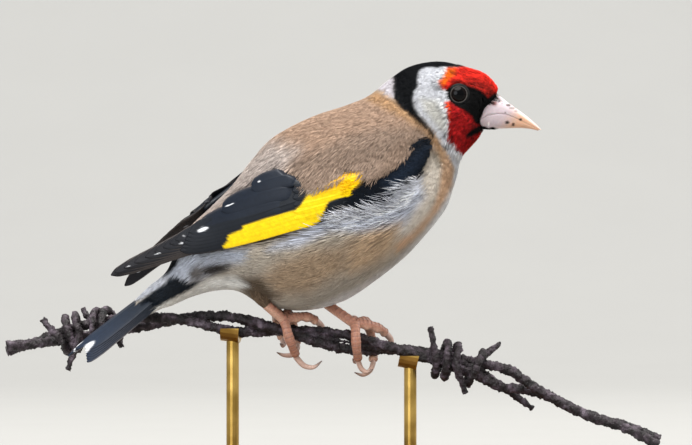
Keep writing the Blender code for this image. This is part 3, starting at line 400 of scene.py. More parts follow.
def inside_by(points, pixels):
    """How far inside an outline of photo pixels side-view points lie; negative outside."""
    corners = seen(pixels)
    nearest = np.full(len(points), 1e9)
    inside = np.zeros(len(points), bool)
    for (ax, az), (bx, bz) in zip(corners, np.roll(corners, -1, axis=0)):
        ex, ez = bx - ax, bz - az
        dx, dz = points[:, 0] - ax, points[:, 1] - az
        t = np.clip((dx * ex + dz * ez) / (ex * ex + ez * ez), 0, 1)
        nearest = np.minimum(nearest, (dx - ex * t) ** 2 + (dz - ez * t) ** 2)
        if ez:
            crosses = (az > points[:, 1]) != (bz > points[:, 1])
            inside ^= crosses & (dx < ex * dz / ez)
    return np.where(inside, 1, -1) * np.sqrt(nearest)


def paint(colours, points, markings):
    """Lays each marking over the colours of points seen from the side (x, z)."""
    for code, softness, outline in markings:
        share = ease(-softness, softness, inside_by(points, outline))
        colours = mixed(colours, linear(code), share)
    return colours


def body_colours(points):
    """The plumage's colour at places on the body, in millimetres."""
    side = points[:, [0, 2]]
    colours = paint(plain("#B1A799")(points), side, BODY_MARKINGS)
    return paint(colours, side, HEAD_MARKINGS)


STREAKS = np.random.default_rng(3).uniform(-1, 1, (64, 180))
STREAK_LENGTH, STREAK_WIDTH = 14, 2  # in a guide's rows and columns


def streak(row, column):
    """Long soft streaks down a guide's columns, from -1 to 1."""
    a, b = row / STREAK_LENGTH, column / STREAK_WIDTH
    i, j = np.floor(a).astype(int), np.floor(b).astype(int)
    a, b = a - i, b - j
    high, wide = STREAKS.shape
    near = [STREAKS[(i + m) % high, (j + n) % wide] for m, n in ((0, 0), (0, 1), (1, 0), (1, 1))]
    return (near[0] * (1 - b) + near[1] * b) * (1 - a) + (near[2] * (1 - b) + near[3] * b) * a


class Guide:
    """A grid of points over a curved form, read smoothly between its points."""

    def __init__(self, points, wraps):
        self.points, self.wraps = points, wraps
        self.down = np.gradient(points, axis=0)
        if wraps:
            self.across = (np.roll(points, -1, 1) - np.roll(points, 1, 1)) / 2
        else:
            self.across = np.gradient(points, axis=1)
        normal = np.cross(self.down, self.across)
        outward = points - points.mean((0, 1)) if wraps else points * (0, 1, 0)
        self.normal = unit(normal) * (1 if (normal * outward).sum() > 0 else -1)

    def read(self, layer, row, column):
        rows, columns = layer.shape[:2]
        row = np.clip(row, 0, rows - 1.001)
        column = column % columns if self.wraps else np.clip(column, 0, columns - 1.001)
        i, j = row.astype(int), column.astype(int)
        fi, fj = (row - i)[..., None], (column - j)[..., None]
        k = (j + 1) % columns
        return ((layer[i, j] * (1 - fj) + layer[i, k] * fj) * (1 - fi)
                + (layer[i + 1, j] * (1 - fj) + layer[i + 1, k] * fj) * fi)

    def at(self, row, column):
        return self.read(self.points, row, column)

    def downwards(self, row, column):
        return unit(self.read(self.down, row, column))

    def outwards(self, row, column):
        return unit(self.read(self.normal, row, column))

    def place(self, row, column, height):
        """Points at a height off the form."""
        return self.at(row, column) + self.outwards(row, column) * height[..., None]

    def steps(self, row, column, way):
        """How many rows and columns one millimetre along a direction crosses."""
        down = self.read(self.down, row, column)
        across = self.read(self.across, row, column)
        a, b, c = (down * down).sum(-1), (down * across).sum(-1), (across * across).sum(-1)
        p, q = (down * way).sum(-1), (across * way).sum(-1)
        whole = np.maximum(a * c - b * b, 1e-9)
        return (p * c - q * b) / whole, (q * a - p * b) / whole


class WingSheet:
    """The curved sheet that one folded wing lies on, in millimetres."""

    def __init__(self, side):
        self.side = side
        angle = WING_ANGLES[side]
        self.shoulder = np.array(SHOULDERS[side])
        self.along = np.array([-math.cos(angle), -math.sin(angle)])
        self.up = np.array([-math.sin(angle), math.cos(angle)])
        s = np.arange(SHEET_S_RANGE[0], SHEET_S_RANGE[1] + 0.01, SHEET_STEP)
        v = np.arange(SHEET_V_RANGE[0], SHEET_V_RANGE[1] + 0.01, SHEET_STEP)
        self.guide = Guide(self.on_sheet(*np.meshgrid(s, v, indexing="ij")), False)

    def depth(self, s, v):
        bow, middle, reach, breadth = (
            spline(SHEET_S, line, s)
            for line in (WING_BOWS[self.side], SHEET_MIDDLE, SHEET_REACH, SHEET_HALF_BREADTH)
        )
        off = (v + 0.8 * bow - middle) / reach
        return breadth * np.sqrt(np.maximum(0.02, 1 - off * off)), bow

    def on_sheet(self, s, v):
        depth, bow = self.depth(s, v)
        flat = self.shoulder + s[..., None] * self.along + (v + bow)[..., None] * self.up
        return np.stack([flat[..., 0], self.side * depth, flat[..., 1]], -1)

    def find(self, x, z):
        """The s and v of a place seen from the side."""
        off = np.stack([x, z], -1) - self.shoulder
        s = off @ self.along
        return s, off @ self.up - spline(SHEET_S, WING_BOWS[self.side], s)

    def place(self, s, v, height):
        row = (np.asarray(s, float) - SHEET_S_RANGE[0]) / SHEET_STEP
        column = (np.asarray(v, float) - SHEET_V_RANGE[0]) / SHEET_STEP
        return self.guide.place(row, column, np.asarray(height, float))


def arm_edges(s):
    """The upper and the lower edge of a folded wing's arm."""
    return spline(WING_EDGE_S, WING_UPPER, s), spline(WING_EDGE_S, WING_LOWER, s)


def arm_height(s, v):
    """How thick the arm under the coverts is: most in its middle, least at its edges."""
    high, low = arm_edges(s)
    across = np.clip((v - (high + low) / 2) * 2 / (high - low), -1, 1)
    along = (s - WING_EDGE_S[0]) / (ARM_END - WING_EDGE_S[0])
    taper = np.minimum(1.0, 0.35 + np.minimum(along * 2.5, (1 - along) * 1.2))
    return np.maximum(0.2, 0.5 + (ARM_THICKNESS - 0.5) * taper * (1 - across**4))


def on_photo(s, v, height=0.0):
    """Where a place on either wing lies on the right wing, seen from the side (x, z)."""
    return SHEETS[-1].place(s, v, height + 0 * s)[..., [0, 2]]


def in_window(s, v, height=0.0):
    """How far inside what shows of the wings a place on them lies."""
    flat = on_photo(s, v, height).reshape(-1, 2)
    return inside_by(flat, WING_WINDOW).reshape(s.shape)


SHEETS = {side: WingSheet(side) for side in (-1, 1)}


def body_guide():
    """The body's own surface, raised over the folded wings and pressed in at the eyes."""
    rows = round(LAST_SLICE * ROWS_A_SLICE) + 1
    place = np.linspace(0, LAST_SLICE, rows)
    turn = np.linspace(0, 2 * math.pi, COLUMNS, endpoint=False)[None]
    slices = spline(range(len(BODY_SLICES)), BODY_SLICES, place)
    top_x, top_z, low_x, low_z, wide = (slices[:, [i]] for i in range(5))
    c, s = np.cos(turn), np.sin(turn)
    x = (top_x + low_x) / 2 + c * (top_x - low_x) / 2
    y = s * wide
    z = (top_z + low_z) / 2 + c * (top_z - low_z) / 2
    x = x - GAPE_DEPTH * (1 - c**4) * ease(-0.75, 0.1, -c) * (1 - ease(0, 2.5, place))[:, None]
    z = z + RUMP_TILT * y * ease(17, 20, place)[:, None]
    for side, sheet in SHEETS.items():
        mine = y * side > 0
        along, across = sheet.find(x, z)
        depth, _ = sheet.depth(along, across)
        high, low = arm_edges(along)
        near = ease(-1.5, 0.3, np.minimum(high - across, across - low))
        near = near * ease(-3.5, 0, along) * (1 - ease(34, 37, along))
        rise = depth + arm_height(along, across) + COAT_OVER_ARM - np.abs(y)
        y = np.where(mine, y + side * near * np.maximum(0, rise), y)
    off = np.hypot(x - EYE[0], z - EYE[1])
    dent = 0.4 * (1 - ease(2.4, 3.4, off)) + 1.3 * (1 - ease(1.6, 2.2, off))
    y = y - np.sign(y) * np.where(np.abs(y) > 2, dent, 0)
    return Guide(np.stack([x, y, z], -1), True)


# Meshes.

def mesh_piece(name, points, faces, material):
    """A smooth-shaded object from points in millimetres and equal-sided faces."""
    mesh = bpy.data.meshes.new(name)
    faces = np.asarray(faces, np.int32)
    mesh.vertices.add(len(points))
    mesh.vertices.foreach_set("co", (np.asarray(points) * MM).astype(np.float32).ravel())
    mesh.loops.add(faces.size)
    mesh.loops.foreach_set("vertex_index", faces.ravel())
    mesh.polygons.add(len(faces))
    starts = np.arange(0, faces.size, faces.shape[1], dtype=np.int32)
    mesh.polygons.foreach_set("loop_start", starts)
    mesh.update(calc_edges=True)
    mesh.shade_smooth()
    mesh.materials.append(material)
    obj = bpy.data.objects.new(name, mesh)
    bpy.context.scene.collection.objects.link(obj)
    return obj


def add_colours(obj, colours):
    """Stores a linear colour for each point, which the painted finishes read."""
    layer = obj.data.attributes.new("Markings", "FLOAT_COLOR", "POINT")
    layer.data.foreach_set("color", np.column_stack(
        [np.clip(colours, 0, 1), np.ones(len(colours))]).astype(np.float32).ravel())


def add_map(obj, name, places):
    """A UV map from one place for each point."""
    corners = np.empty(len(obj.data.loops), np.int32)
    obj.data.loops.foreach_get("vertex_index", corners)
    layer = obj.data.uv_layers.new(name=name)
    layer.data.foreach_set("uv", np.asarray(places, np.float32)[corners].ravel())


def skinned(name, rings, material):
    """A tube over rings of points, as an array (rings, points, 3), closed at both ends."""
    count, sides = rings.shape[:2]
    i, j = np.meshgrid(np.arange(count - 1), np.arange(sides), indexing="ij")
    a, b = i * sides + j, i * sides + (j + 1) % sides
    quads = np.stack([a, b, b + sides, a + sides], -1).reshape(-1, 4).tolist()
    first, last, end = count * sides, count * sides + 1, (count - 1) * sides
    caps = [(first, (k + 1) % sides, k) for k in range(sides)]
    caps += [(last, end + k, end + (k + 1) % sides) for k in range(sides)]
    points = np.concatenate([rings.reshape(-1, 3), rings[[0, -1]].mean(1)])
    mesh = bpy.data.meshes.new(name)
    mesh.from_pydata((points * MM).tolist(), [], quads + caps)
    obj = bpy.data.objects.new(name, mesh)
    bpy.context.scene.collection.objects.link(obj)
    bpy.ops.object.select_all(action="DESELECT")
    bpy.context.view_layer.objects.active = obj
    obj.select_set(True)
    bpy.ops.object.mode_set(mode="EDIT")
    bpy.ops.mesh.select_all(action="SELECT")
    bpy.ops.mesh.normals_make_consistent(inside=False)
    bpy.ops.object.mode_set(mode="OBJECT")
    mesh.shade_smooth()
    mesh.materials.append(material)
    return obj, points


def show(obj, *nodes, slot):
    """The piece rides on the bird's body and stands for those CAD nodes."""
    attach(obj, "root")
    if nodes:
        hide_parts(*nodes)
    return obj


# Small body feathers: tufts of pointed barbs that follow the form under them.

BARB_SHORT = ((0.0, 0.6), (0.5, 1.0))
BARB_LONG = ((0.0, 0.55), (0.4, 1.0), (0.78, 0.7))
MOST_TRIANGLES = 190000
OUTER_BARBS = 0.36  # how far to each side a tuft's outer barbs start, by its width
BARB_CREST = 0.22  # how high a barb's crest stands, by its thickness
BAKE_PATCH = 0.003  # how much of the baked picture one tuft takes
# Tufts for a square millimetre, where they don't follow the coat's own density.
WISP_DENSITY, THIGH_DENSITY, COVERT_DENSITY, BRISTLE_DENSITY = 0.4, 2.4, 3.0, 7.0


def grow(name, guide, row, column, way, size, material, colour_of, rng):
    """Tufts rooted at places of the guide. way is each one's direction, and size holds
    each one's length, width, barb thickness, root depth, tip height, splay and variety."""
    barbs, stations = size["barbs"], size["stations"]
    count = len(row)
    length, width, thick, deep, high, splay, variety = (
        np.repeat(np.broadcast_to(size[key], count), barbs)
        for key in ("length", "width", "thick", "deep", "high", "splay", "variety"))
    row0, column0 = np.repeat(row, barbs), np.repeat(column, barbs)
    ahead = np.repeat(way, barbs, axis=0)
    spread = np.tile(np.linspace(-1, 1, barbs), count) + rng.uniform(-0.15, 0.15, count * barbs)
    normal = guide.outwards(row0, column0)
    ahead = unit(ahead - normal * (ahead * normal).sum(-1, keepdims=True))
    across = np.cross(normal, ahead)
    row_across, column_across = guide.steps(row0, column0, across)
    shift = spread * width * OUTER_BARBS
    row1, column1 = row0 + row_across * shift, column0 + column_across * shift
    turn = spread * splay + rng.normal(0, 0.05, len(row1))
    heading = ahead * np.cos(turn)[:, None] + across * np.sin(turn)[:, None]
    row_step, column_step = guide.steps(row1, column1, heading)
    reach = length * (1 - 0.22 * spread**2) * rng.uniform(0.82, 1.12, len(row1))
    curl = rng.normal(0, 0.035, len(row1)) * reach
    rise = high * rng.uniform(0.4, 1.3, len(row1)) * (1 - 0.25 * spread**2)
    points, tones, where = [], [], []
    for u, full in stations:
        r = row1 + row_step * reach * u + row_across * curl * u * u
        c = column1 + column_step * reach * u + column_across * curl * u * u
        height = -deep + (deep + rise) * (1 - (1 - u) ** 1.7)
        out = guide.outwards(r, c)
        centre = guide.at(r, c) + out * height[:, None]
        half = np.cross(out, heading) * (thick * full / 2)[:, None]
        crest = out * (thick * full * BARB_CREST)[:, None]
        points += [centre - half, centre + half, centre + crest]
        # Each barb is painted darker at its root, as painted shade where tufts overlap, and a
        # little lighter on its crest, as painted highlight.
        tones += [np.full(len(r), 0.86 + 0.18 * u)] * 2 + [np.full(len(r), 0.88 + 0.22 * u)]
        where += [(shift + thick * aside, reach * u) for aside in (-0.3, 0.3, 0.0)]
    r = row1 + row_step * reach + row_across * curl
    c = column1 + column_step * reach + column_across * curl
    points.append(guide.place(r, c, rise))
    # The tip is painted lightest, as painted highlight.
    tones.append(np.full(len(r), 1.1))
    where.append((shift, reach))
    each = len(points)
    middle = guide.at(row1 + row_step * reach * 0.7, column1 + column_step * reach * 0.7)
    vary = 1 + np.repeat(rng.normal(0, 0.6, count), barbs) * variety
    vary = vary + (rng.normal(0, 0.6, len(vary)) + 1.2 * streak(row1, column1)) * variety
    tones = np.stack(tones, 1) * np.clip(vary, 0.3, 1.8)[:, None]
    colours = (colour_of(middle)[:, None] * tones[..., None]).reshape(-1, 3)
    points = np.stack(points, 1).reshape(-1, 3)
    faces = [(0, 2, 1)]
    for a in range(0, each - 4, 3):
        for m, n in ((0, 1), (1, 2), (2, 0)):
            faces += [(a + m, a + n, a + 3 + n), (a + m, a + 3 + n, a + 3 + m)]
    a = each - 4
    faces += [(a, a + 1, a + 3), (a + 1, a + 2, a + 3), (a + 2, a, a + 3)]
    faces = (np.array(faces)[None] + (np.arange(len(row1)) * each)[:, None, None]).reshape(-1, 3)
    obj = mesh_piece(name, points, faces, material)
    add_colours(obj, colours)
    rows, columns = guide.points.shape[:2]
    patch = np.stack([np.stack(np.broadcast_arrays(x, y), -1) for x, y in where], 1)
    patch = patch / np.maximum(length, 1)[:, None, None] - (0, 0.5)
    centre = np.stack([(column0 % columns) / columns, row0 / rows], -1)
    add_map(obj, "OFBake", (centre[:, None] + patch * BAKE_PATCH).reshape(-1, 2))
    return obj


def scatter(guide, density, rng):
    """Rows and columns of roots, spread evenly by a density for each square millimetre."""
    area = np.linalg.norm(np.cross(guide.down, guide.across), axis=-1)
    share = (area * density)[:-1].ravel()
    total = np.cumsum(share)
    picks = np.arange(int(total[-1])) + rng.uniform(0, 1, int(total[-1]))
    cell = np.minimum(np.searchsorted(total, picks), len(share) - 1)
    columns = guide.points.shape[1]
    row = cell // columns + rng.uniform(0, 1, len(cell))
    return row, cell % columns + rng.uniform(0, 1, len(cell))


# The coat along the body: at each slice, tufts for a square millimetre, their length,
# width and barb thickness, root depth and tip height.
COAT_PLACE = (0, 2, 4, 6, 8, 11, 14, 17, 19, 22)
COAT_DENSITY = (6.8, 6.0, 4.8, 3.2, 1.9, 1.1, 0.95, 1.1, 1.3, 1.3)
COAT_LENGTH = (0.9, 1.2, 1.7, 2.3, 3.4, 5.6, 6.4, 6.0, 4.8, 4.0)
COAT_WIDTH = (0.5, 0.6, 0.8, 1.1, 1.6, 2.2, 2.4, 2.4, 2.0, 1.8)
COAT_THICK = (0.13, 0.13, 0.14, 0.16, 0.17, 0.18, 0.19, 0.2, 0.22, 0.22)
COAT_DEEP = (0.22, 0.25, 0.28, 0.34, 0.42, 0.48, 0.5, 0.45, 0.4, 0.35)
COAT_HIGH = (0.08, 0.1, 0.12, 0.13, 0.12, 0.12, 0.14, 0.14, 0.12, 0.1)
# Its parts: first and last slice, barbs in a tuft and their shape.
COAT_PARTS = ((0, 4.6, 6, BARB_SHORT), (4.6, 6.8, 7, BARB_SHORT), (6.8, 10.5, 9, BARB_LONG),
              (10.5, 21, 9, BARB_LONG))
HEAD_END = 7  # the slice that parts the head's plumage from the body's
COAT_ON_TAIL = 2.2  # how many slices further the coat runs above and below the tail
SKIN_END, SKIN_EVERY = 20.4, 4  # the skin's last slice, and every how many rows it takes
SKIN_DEPTH, SKIN_TUCK, SKIN_SHADE = 0.05, 2.6, 0.8


def coat_size(place, barbs, stations, fluffed, waxy):
    """Sizes of tufts: fluffed ones stand up, and waxy red ones are thick and uneven."""
    size = dict(barbs=barbs, stations=stations,
                splay=0.16 + 0.3 * fluffed + 0.12 * (1 - ease(5, 8, place)))
    for key, line in (("length", COAT_LENGTH), ("width", COAT_WIDTH), ("thick", COAT_THICK),
                      ("deep", COAT_DEEP), ("high", COAT_HIGH)):
        size[key] = spline(COAT_PLACE, line, place)
    size["high"] = size["high"] + 0.55 * fluffed + 0.25 * waxy
    size["thick"] = size["thick"] * (1 + 0.35 * waxy)
    size["length"] = size["length"] * (1 + 0.25 * waxy)
    size["variety"] = 0.06 + 0.05 * ease(8, 12, place) + 0.5 * fluffed + 0.4 * waxy
    return size


def lie(guide, row, column):
    """Which way the feathers at these places grow."""
    down = guide.downwards(row, column)
    around = unit(guide.read(guide.across, row, column))
    turn = column / COLUMNS * 2 * math.pi
    to_top = around * np.where(np.sin(turn) > 0, -1, 1)[:, None]
    side = guide.at(row, column)[:, [0, 2]]
    for upwards, softness, outline in LIES:
        share = ease(-softness, softness, inside_by(side, outline))
        down = down + to_top * (upwards * share)[:, None]
    return unit(down)


def over_wing(points):
    """How far inside what shows of the wings places on the body lie."""
    deep = np.full(len(points), -50.0)
    for side, sheet in SHEETS.items():
        s, v = sheet.find(points[:, 0], points[:, 2])
        beside = points[:, 1] * side > sheet.depth(s, v)[0] - 1.5
        deep = np.where(beside, in_window(s, v), deep)
    return deep


def make_coat(guide, material):
    """All the body's small feathers, in pieces from the face to the tail."""
    rng = np.random.default_rng(11)
    place = np.arange(guide.points.shape[0]) / ROWS_A_SLICE
    density = np.repeat(spline(COAT_PLACE, COAT_DENSITY, place)[:, None], COLUMNS, 1)
    turn_to_side = np.abs(np.sin(np.arange(COLUMNS) / COLUMNS * 2 * math.pi))[None]
    ends = TAIL_SLICE + COAT_ON_TAIL * (1 - turn_to_side)
    density[place[:, None] > ends] = 0
    row, column = scatter(guide, density, rng)
    way = lie(guide, row, column)
    length = spline(COAT_PLACE, COAT_LENGTH, row / ROWS_A_SLICE)
    row_step, column_step = guide.steps(row, column, way)
    root = guide.at(row, column)
    tip = guide.at(row + row_step * length * 0.8, column + column_step * length * 0.8)
    off_eye = np.minimum(*(np.hypot(p[:, 0] - EYE[0], p[:, 2] - EYE[1]) for p in (root, tip)))
    fluffed = ease(-1, 2, inside_by(root[:, [0, 2]], FLANK))
    overlap = rng.uniform(0.2, 1.2, len(row)) * (1 - 0.9 * ease(11, 14, root[:, 0]))
    overlap = overlap - 0.7 * fluffed
    keep = (over_wing(root) < 0.1) & (over_wing(tip) < overlap) & (off_eye > BARE_ROUND_EYE)
    row, column, way, root, fluffed = row[keep], column[keep], way[keep], root[keep], fluffed[keep]
    place = row / ROWS_A_SLICE
    colours = body_colours(root)
    waxy = ease(0.08, 0.25, colours[:, 0] - 2 * colours[:, 1]) * (place < 6)
    number = 0
    for first, last, barbs, stations in COAT_PARTS:
        mine = np.flatnonzero((place >= first) & (place < last))
        triangles = len(mine) * barbs * (6 * len(stations) - 2)
        for part in np.array_split(mine, math.ceil(triangles / MOST_TRIANGLES)):
            number += 1
            size = coat_size(place[part], barbs, stations, fluffed[part], waxy[part])
            obj = grow(f"coat_{number}", guide, row[part], column[part], way[part], size,
                       material, body_colours, rng)
            show(obj, slot="plumage_head" if last < HEAD_END else "plumage_body")
    make_wisps(guide, material, rng)


def make_wisps(guide, material, rng):
    """Long loose flank feathers that stray over the wings' lower edges."""
    row, column = scatter(guide, WISP_DENSITY, rng)
    keep = inside_by(guide.at(row, column)[:, [0, 2]], WISPS) > 0
    row, column = row[keep], column[keep]
    size = dict(barbs=4, stations=BARB_LONG, length=rng.uniform(4, 9, len(row)), width=1.4,
                thick=0.1, deep=0.3, high=rng.uniform(0.2, 1.0, len(row)), splay=0.22, variety=0.25)
    wisps = grow("flank_wisps", guide, row, column, lie(guide, row, column), size, material,
                 plain("#D9DCE4"), rng)
    show(wisps, slot="plumage_body")


def make_skin(guide, material):
    """One skin under all the body's feathers, with the same markings."""
    rows = np.arange(0, round(SKIN_END * ROWS_A_SLICE), SKIN_EVERY, dtype=float)
    r, c = np.meshgrid(rows, np.arange(0, COLUMNS, SKIN_EVERY, dtype=float), indexing="ij")
    depth = spline(COAT_PLACE, COAT_DEEP, r / ROWS_A_SLICE) + SKIN_DEPTH
    shown = over_wing(guide.place(r, c, -depth).reshape(-1, 3)).reshape(r.shape)
    depth = depth + SKIN_TUCK * ease(-0.6, 0.8, shown)
    obj, points = skinned("skin", guide.place(r, c, -depth), material)
    add_colours(obj, body_colours(points) * SKIN_SHADE)
    show(obj, "head", "neck", "torso", "thigh_right", "thigh_left", slot="plumage_body")


def make_thighs(under, coat):
    """The feathered top of each leg."""
    rng = np.random.default_rng(5)
    for side, leg in LEGS.items():
        top, end = (np.array(p) for p in leg[0])
        run = unit(end - top)
        across = unit(np.cross(run, [0, 1, 0]))
        other = np.cross(run, across)
        turn = np.linspace(0, 2 * math.pi, 60, endpoint=False)
        share = np.linspace(0, 1, 40)
        radius = spline(THIGH_PLACE, THIGH_RADIUS, share)
        ring = np.cos(turn)[:, None] * across + np.sin(turn)[:, None] * other
        length = np.linalg.norm(end - top)
        points = top + run * (share * length)[:, None, None] + ring[None] * radius[:, None, None]
        guide = Guide(points, True)
        obj, skin_points = skinned(f"thigh_skin_{side}", points - ring[None] * 0.35, under)
        # The thigh skin is dark brown: partly the thighs' own colour, partly painted shade under
        # the belly.
        add_colours(obj, plain("#6F604F")(skin_points))
        show(obj, slot="plumage_body")
        row, column = scatter(guide, THIGH_DENSITY, rng)
        size = dict(barbs=6, stations=BARB_LONG, length=2.8, width=1.4, thick=0.16, deep=0.3,
                    high=0.3, splay=0.35, variety=0.3)
        # The thigh feathers are dark brown: partly their own colour, partly painted shade under the
        # belly.
        fluff = grow(f"thigh_coat_{side}", guide, row, column, guide.downwards(row, column), size,
                     coat, plain("#6E5C4A"), rng)
        show(fluff, slot="plumage_body")


# Long feathers: vanes with a shaft, laid on a wing's sheet or on the tail.

# How wide each kind is along itself, as (share of its length, share of its full width).
LONG_OUTLINE = ((0.0, 0.55), (0.12, 0.85), (0.35, 1.0), (0.7, 1.0), (0.86, 0.88), (0.94, 0.66),
                (0.98, 0.4), (1.0, 0.08))
ROUND_OUTLINE = ((0.0, 0.5), (0.2, 0.9), (0.5, 1.0), (0.8, 0.94), (0.91, 0.76), (0.97, 0.48),
                 (1.0, 0.1))
SHORT_OUTLINE = ((0.0, 0.75), (0.3, 0.95), (0.65, 1.0), (0.85, 0.86), (0.95, 0.6), (1.0, 0.15))
VANE_ACROSS = np.array([-1, -0.9, -0.72, -0.54, -0.36, -0.18, -0.07, 0,
                        0.07, 0.18, 0.36, 0.54, 0.72, 0.9, 1.0])
VANE_THICKNESS, SHAFT_HEIGHT, SHAFT_WIDTH = 0.16, 0.09, 0.06
PALE_RIM = "#9A8E86"
PRIMARY_REACH = (80.3, 79.2, 76.7, 73.9, 71.0, 68.4, 66.0, 64.2, 62.6)
# Three tertials a wing: their widths, and each wing's roots, tips and bows.
TERTIAL_WIDTHS = (5.8, 5.2, 4.5)
TERTIALS = {
    -1: ((-1.6, (57.4, 0.6), 1.5), (1.2, (49.4, 3.1), 1.0), (3.6, (41.0, 5.2), 0.8)),
    1: ((2.6, (61.0, -0.6), 1.0), (5.0, (58.5, -0.8), 0.6), (7.2, (55.5, -0.6), 0.4)),
}


def vane(place, colour_of, root, tip, width, height, rise=0.0, bow=0.0, outline=LONG_OUTLINE,
         shaft=0.0, camber=0.1, rows=60, edge=0.0, dip=0.0):
    """One feather as points, faces, colours and barb places. place(s, v, height) gives its
    points, shaft is where its shaft lies across it, from -1 to 1, edge is how pale its
    rim is, and dip is how deep its root goes under the feathers before it."""
    u = 1 - (1 - np.linspace(0, 1, rows)) ** 1.25
    full = spline([o[0] for o in outline], [o[1] for o in outline], u) * width / 2
    t = shaft + VANE_ACROSS * np.where(VANE_ACROSS < 0, 1 + shaft, 1 - shaft)
    ridge = np.exp(-((t - shaft) / SHAFT_WIDTH) ** 2) * SHAFT_HEIGHT
    s = root[0] + (tip[0] - root[0]) * u[:, None] + 0 * t
    line = root[1] + (tip[1] - root[1]) * u + 4 * bow * u * (1 - u)
    v = line[:, None] + t * full[:, None]
    level = height + (rise * u - dip * (1 - ease(0, 0.3, u)))[:, None]
    level = level - camber * t * t * ease(0, 0.1, u)[:, None]
    thick = VANE_THICKNESS * (1 - np.abs(t) ** 6 * 0.8)
    upper = place(s, v, level + thick + ridge * (1 - u[:, None] * 0.7))
    lower = place(s, v, level - thick * 0.3)
    columns = len(t)
    points = np.concatenate([upper.reshape(-1, 3), lower.reshape(-1, 3)])
    i, j = np.meshgrid(np.arange(rows - 1), np.arange(columns - 1), indexing="ij")
    a = (i * columns + j).ravel()
    top = np.stack([a, a + 1, a + columns + 1, a + columns], -1)
    round_it = np.concatenate([np.arange(columns), np.arange(1, rows) * columns + columns - 1,
                               (rows - 1) * columns + np.arange(columns - 2, -1, -1),
                               np.arange(rows - 2, 0, -1) * columns])
    after, under = np.roll(round_it, -1), rows * columns
    side = np.stack([round_it, round_it + under, after + under, after], -1)
    faces = np.concatenate([top, top[:, ::-1] + under, side])
    colours = colour_of(s.ravel(), v.ravel())
    pale = ease(0.85, 1.0, np.abs(t))[None] * edge * ease(0.3, 0.6, u)[:, None]
    colours = mixed(colours, linear(PALE_RIM), pale.ravel())
    length = abs(tip[0] - root[0])
    barbs = np.stack([u[:, None] * length + 0 * t, (t - shaft) * full[:, None]], -1).reshape(-1, 2)
    return points, faces, np.tile(colours, (2, 1)), np.tile(barbs, (2, 1))


def join_vanes(name, vanes, material, flip):
    """Joins feathers into one piece with its markings and barb places."""
    faces, start = [], 0
    for points, these, _, _ in vanes:
        faces.append((these[:, ::-1] if flip else these) + start)
        start += len(points)
    obj = mesh_piece(name, np.concatenate([v[0] for v in vanes]), np.concatenate(faces), material)
    add_colours(obj, np.concatenate([v[2] for v in vanes]))
    add_map(obj, "Barbs", np.concatenate([v[3] for v in vanes]))
    return show(obj, slot="feather_black")


def spotted(colours, s, v, place, radii, code="#DEDFE2"):
    """Adds a soft-edged pale spot."""
    off = np.hypot((s - place[0]) / radii[0], (v - place[1]) / radii[1])
    return mixed(colours, linear(code), 1 - ease(0.75, 1.25, off))


def white_tipped(colours, s, v):
    for place, radii in WHITE_TIPS:
        colours = spotted(colours, s, v, place, radii)
    return colours


def wing_colours(s, v):
    """Blue-black with the yellow bar and white tips, greyer towards the wing's tip."""
    colours = mixed(linear("#0B1119"), linear("#151418"), ease(50, 72, s))
    return white_tipped(paint(colours, on_photo(s, v, MARKED_LEVEL), WING_MARKINGS), s, v)


def tertial_colours(s, v):
    """Navy feathers with white tips, and none of the yellow."""
    return white_tipped(mixed(linear("#0F1723"), linear("#141418"), ease(46, 66, s)), s, v)


def make_arm(sheet, name, material):
    """The feathered arm under a wing's coverts, which stands for the wing's solid."""
    s, t = np.meshgrid(np.linspace(WING_EDGE_S[0], ARM_END, 60), np.linspace(-1, 1, 18),
                       indexing="ij")
    high, low = arm_edges(s)
    v = (high + low) / 2 + t * (high - low) / 2 * 0.97
    rings = np.concatenate([sheet.place(s, v, arm_height(s, v)),
                            sheet.place(s, v, -0.6 + 0 * s)[:, ::-1]], 1)
    arm, points = skinned(f"wing_arm_{name}", rings, material)
    colours = wing_colours(np.tile(s, 2).ravel(), np.concatenate([v, v[:, ::-1]], 1).ravel())
    add_colours(arm, np.concatenate([colours, colours[[0, -1]]]))
    add_map(arm, "Barbs", np.zeros((len(points), 2)))
    show(arm, f"wing_{name}", slot="feather_black")


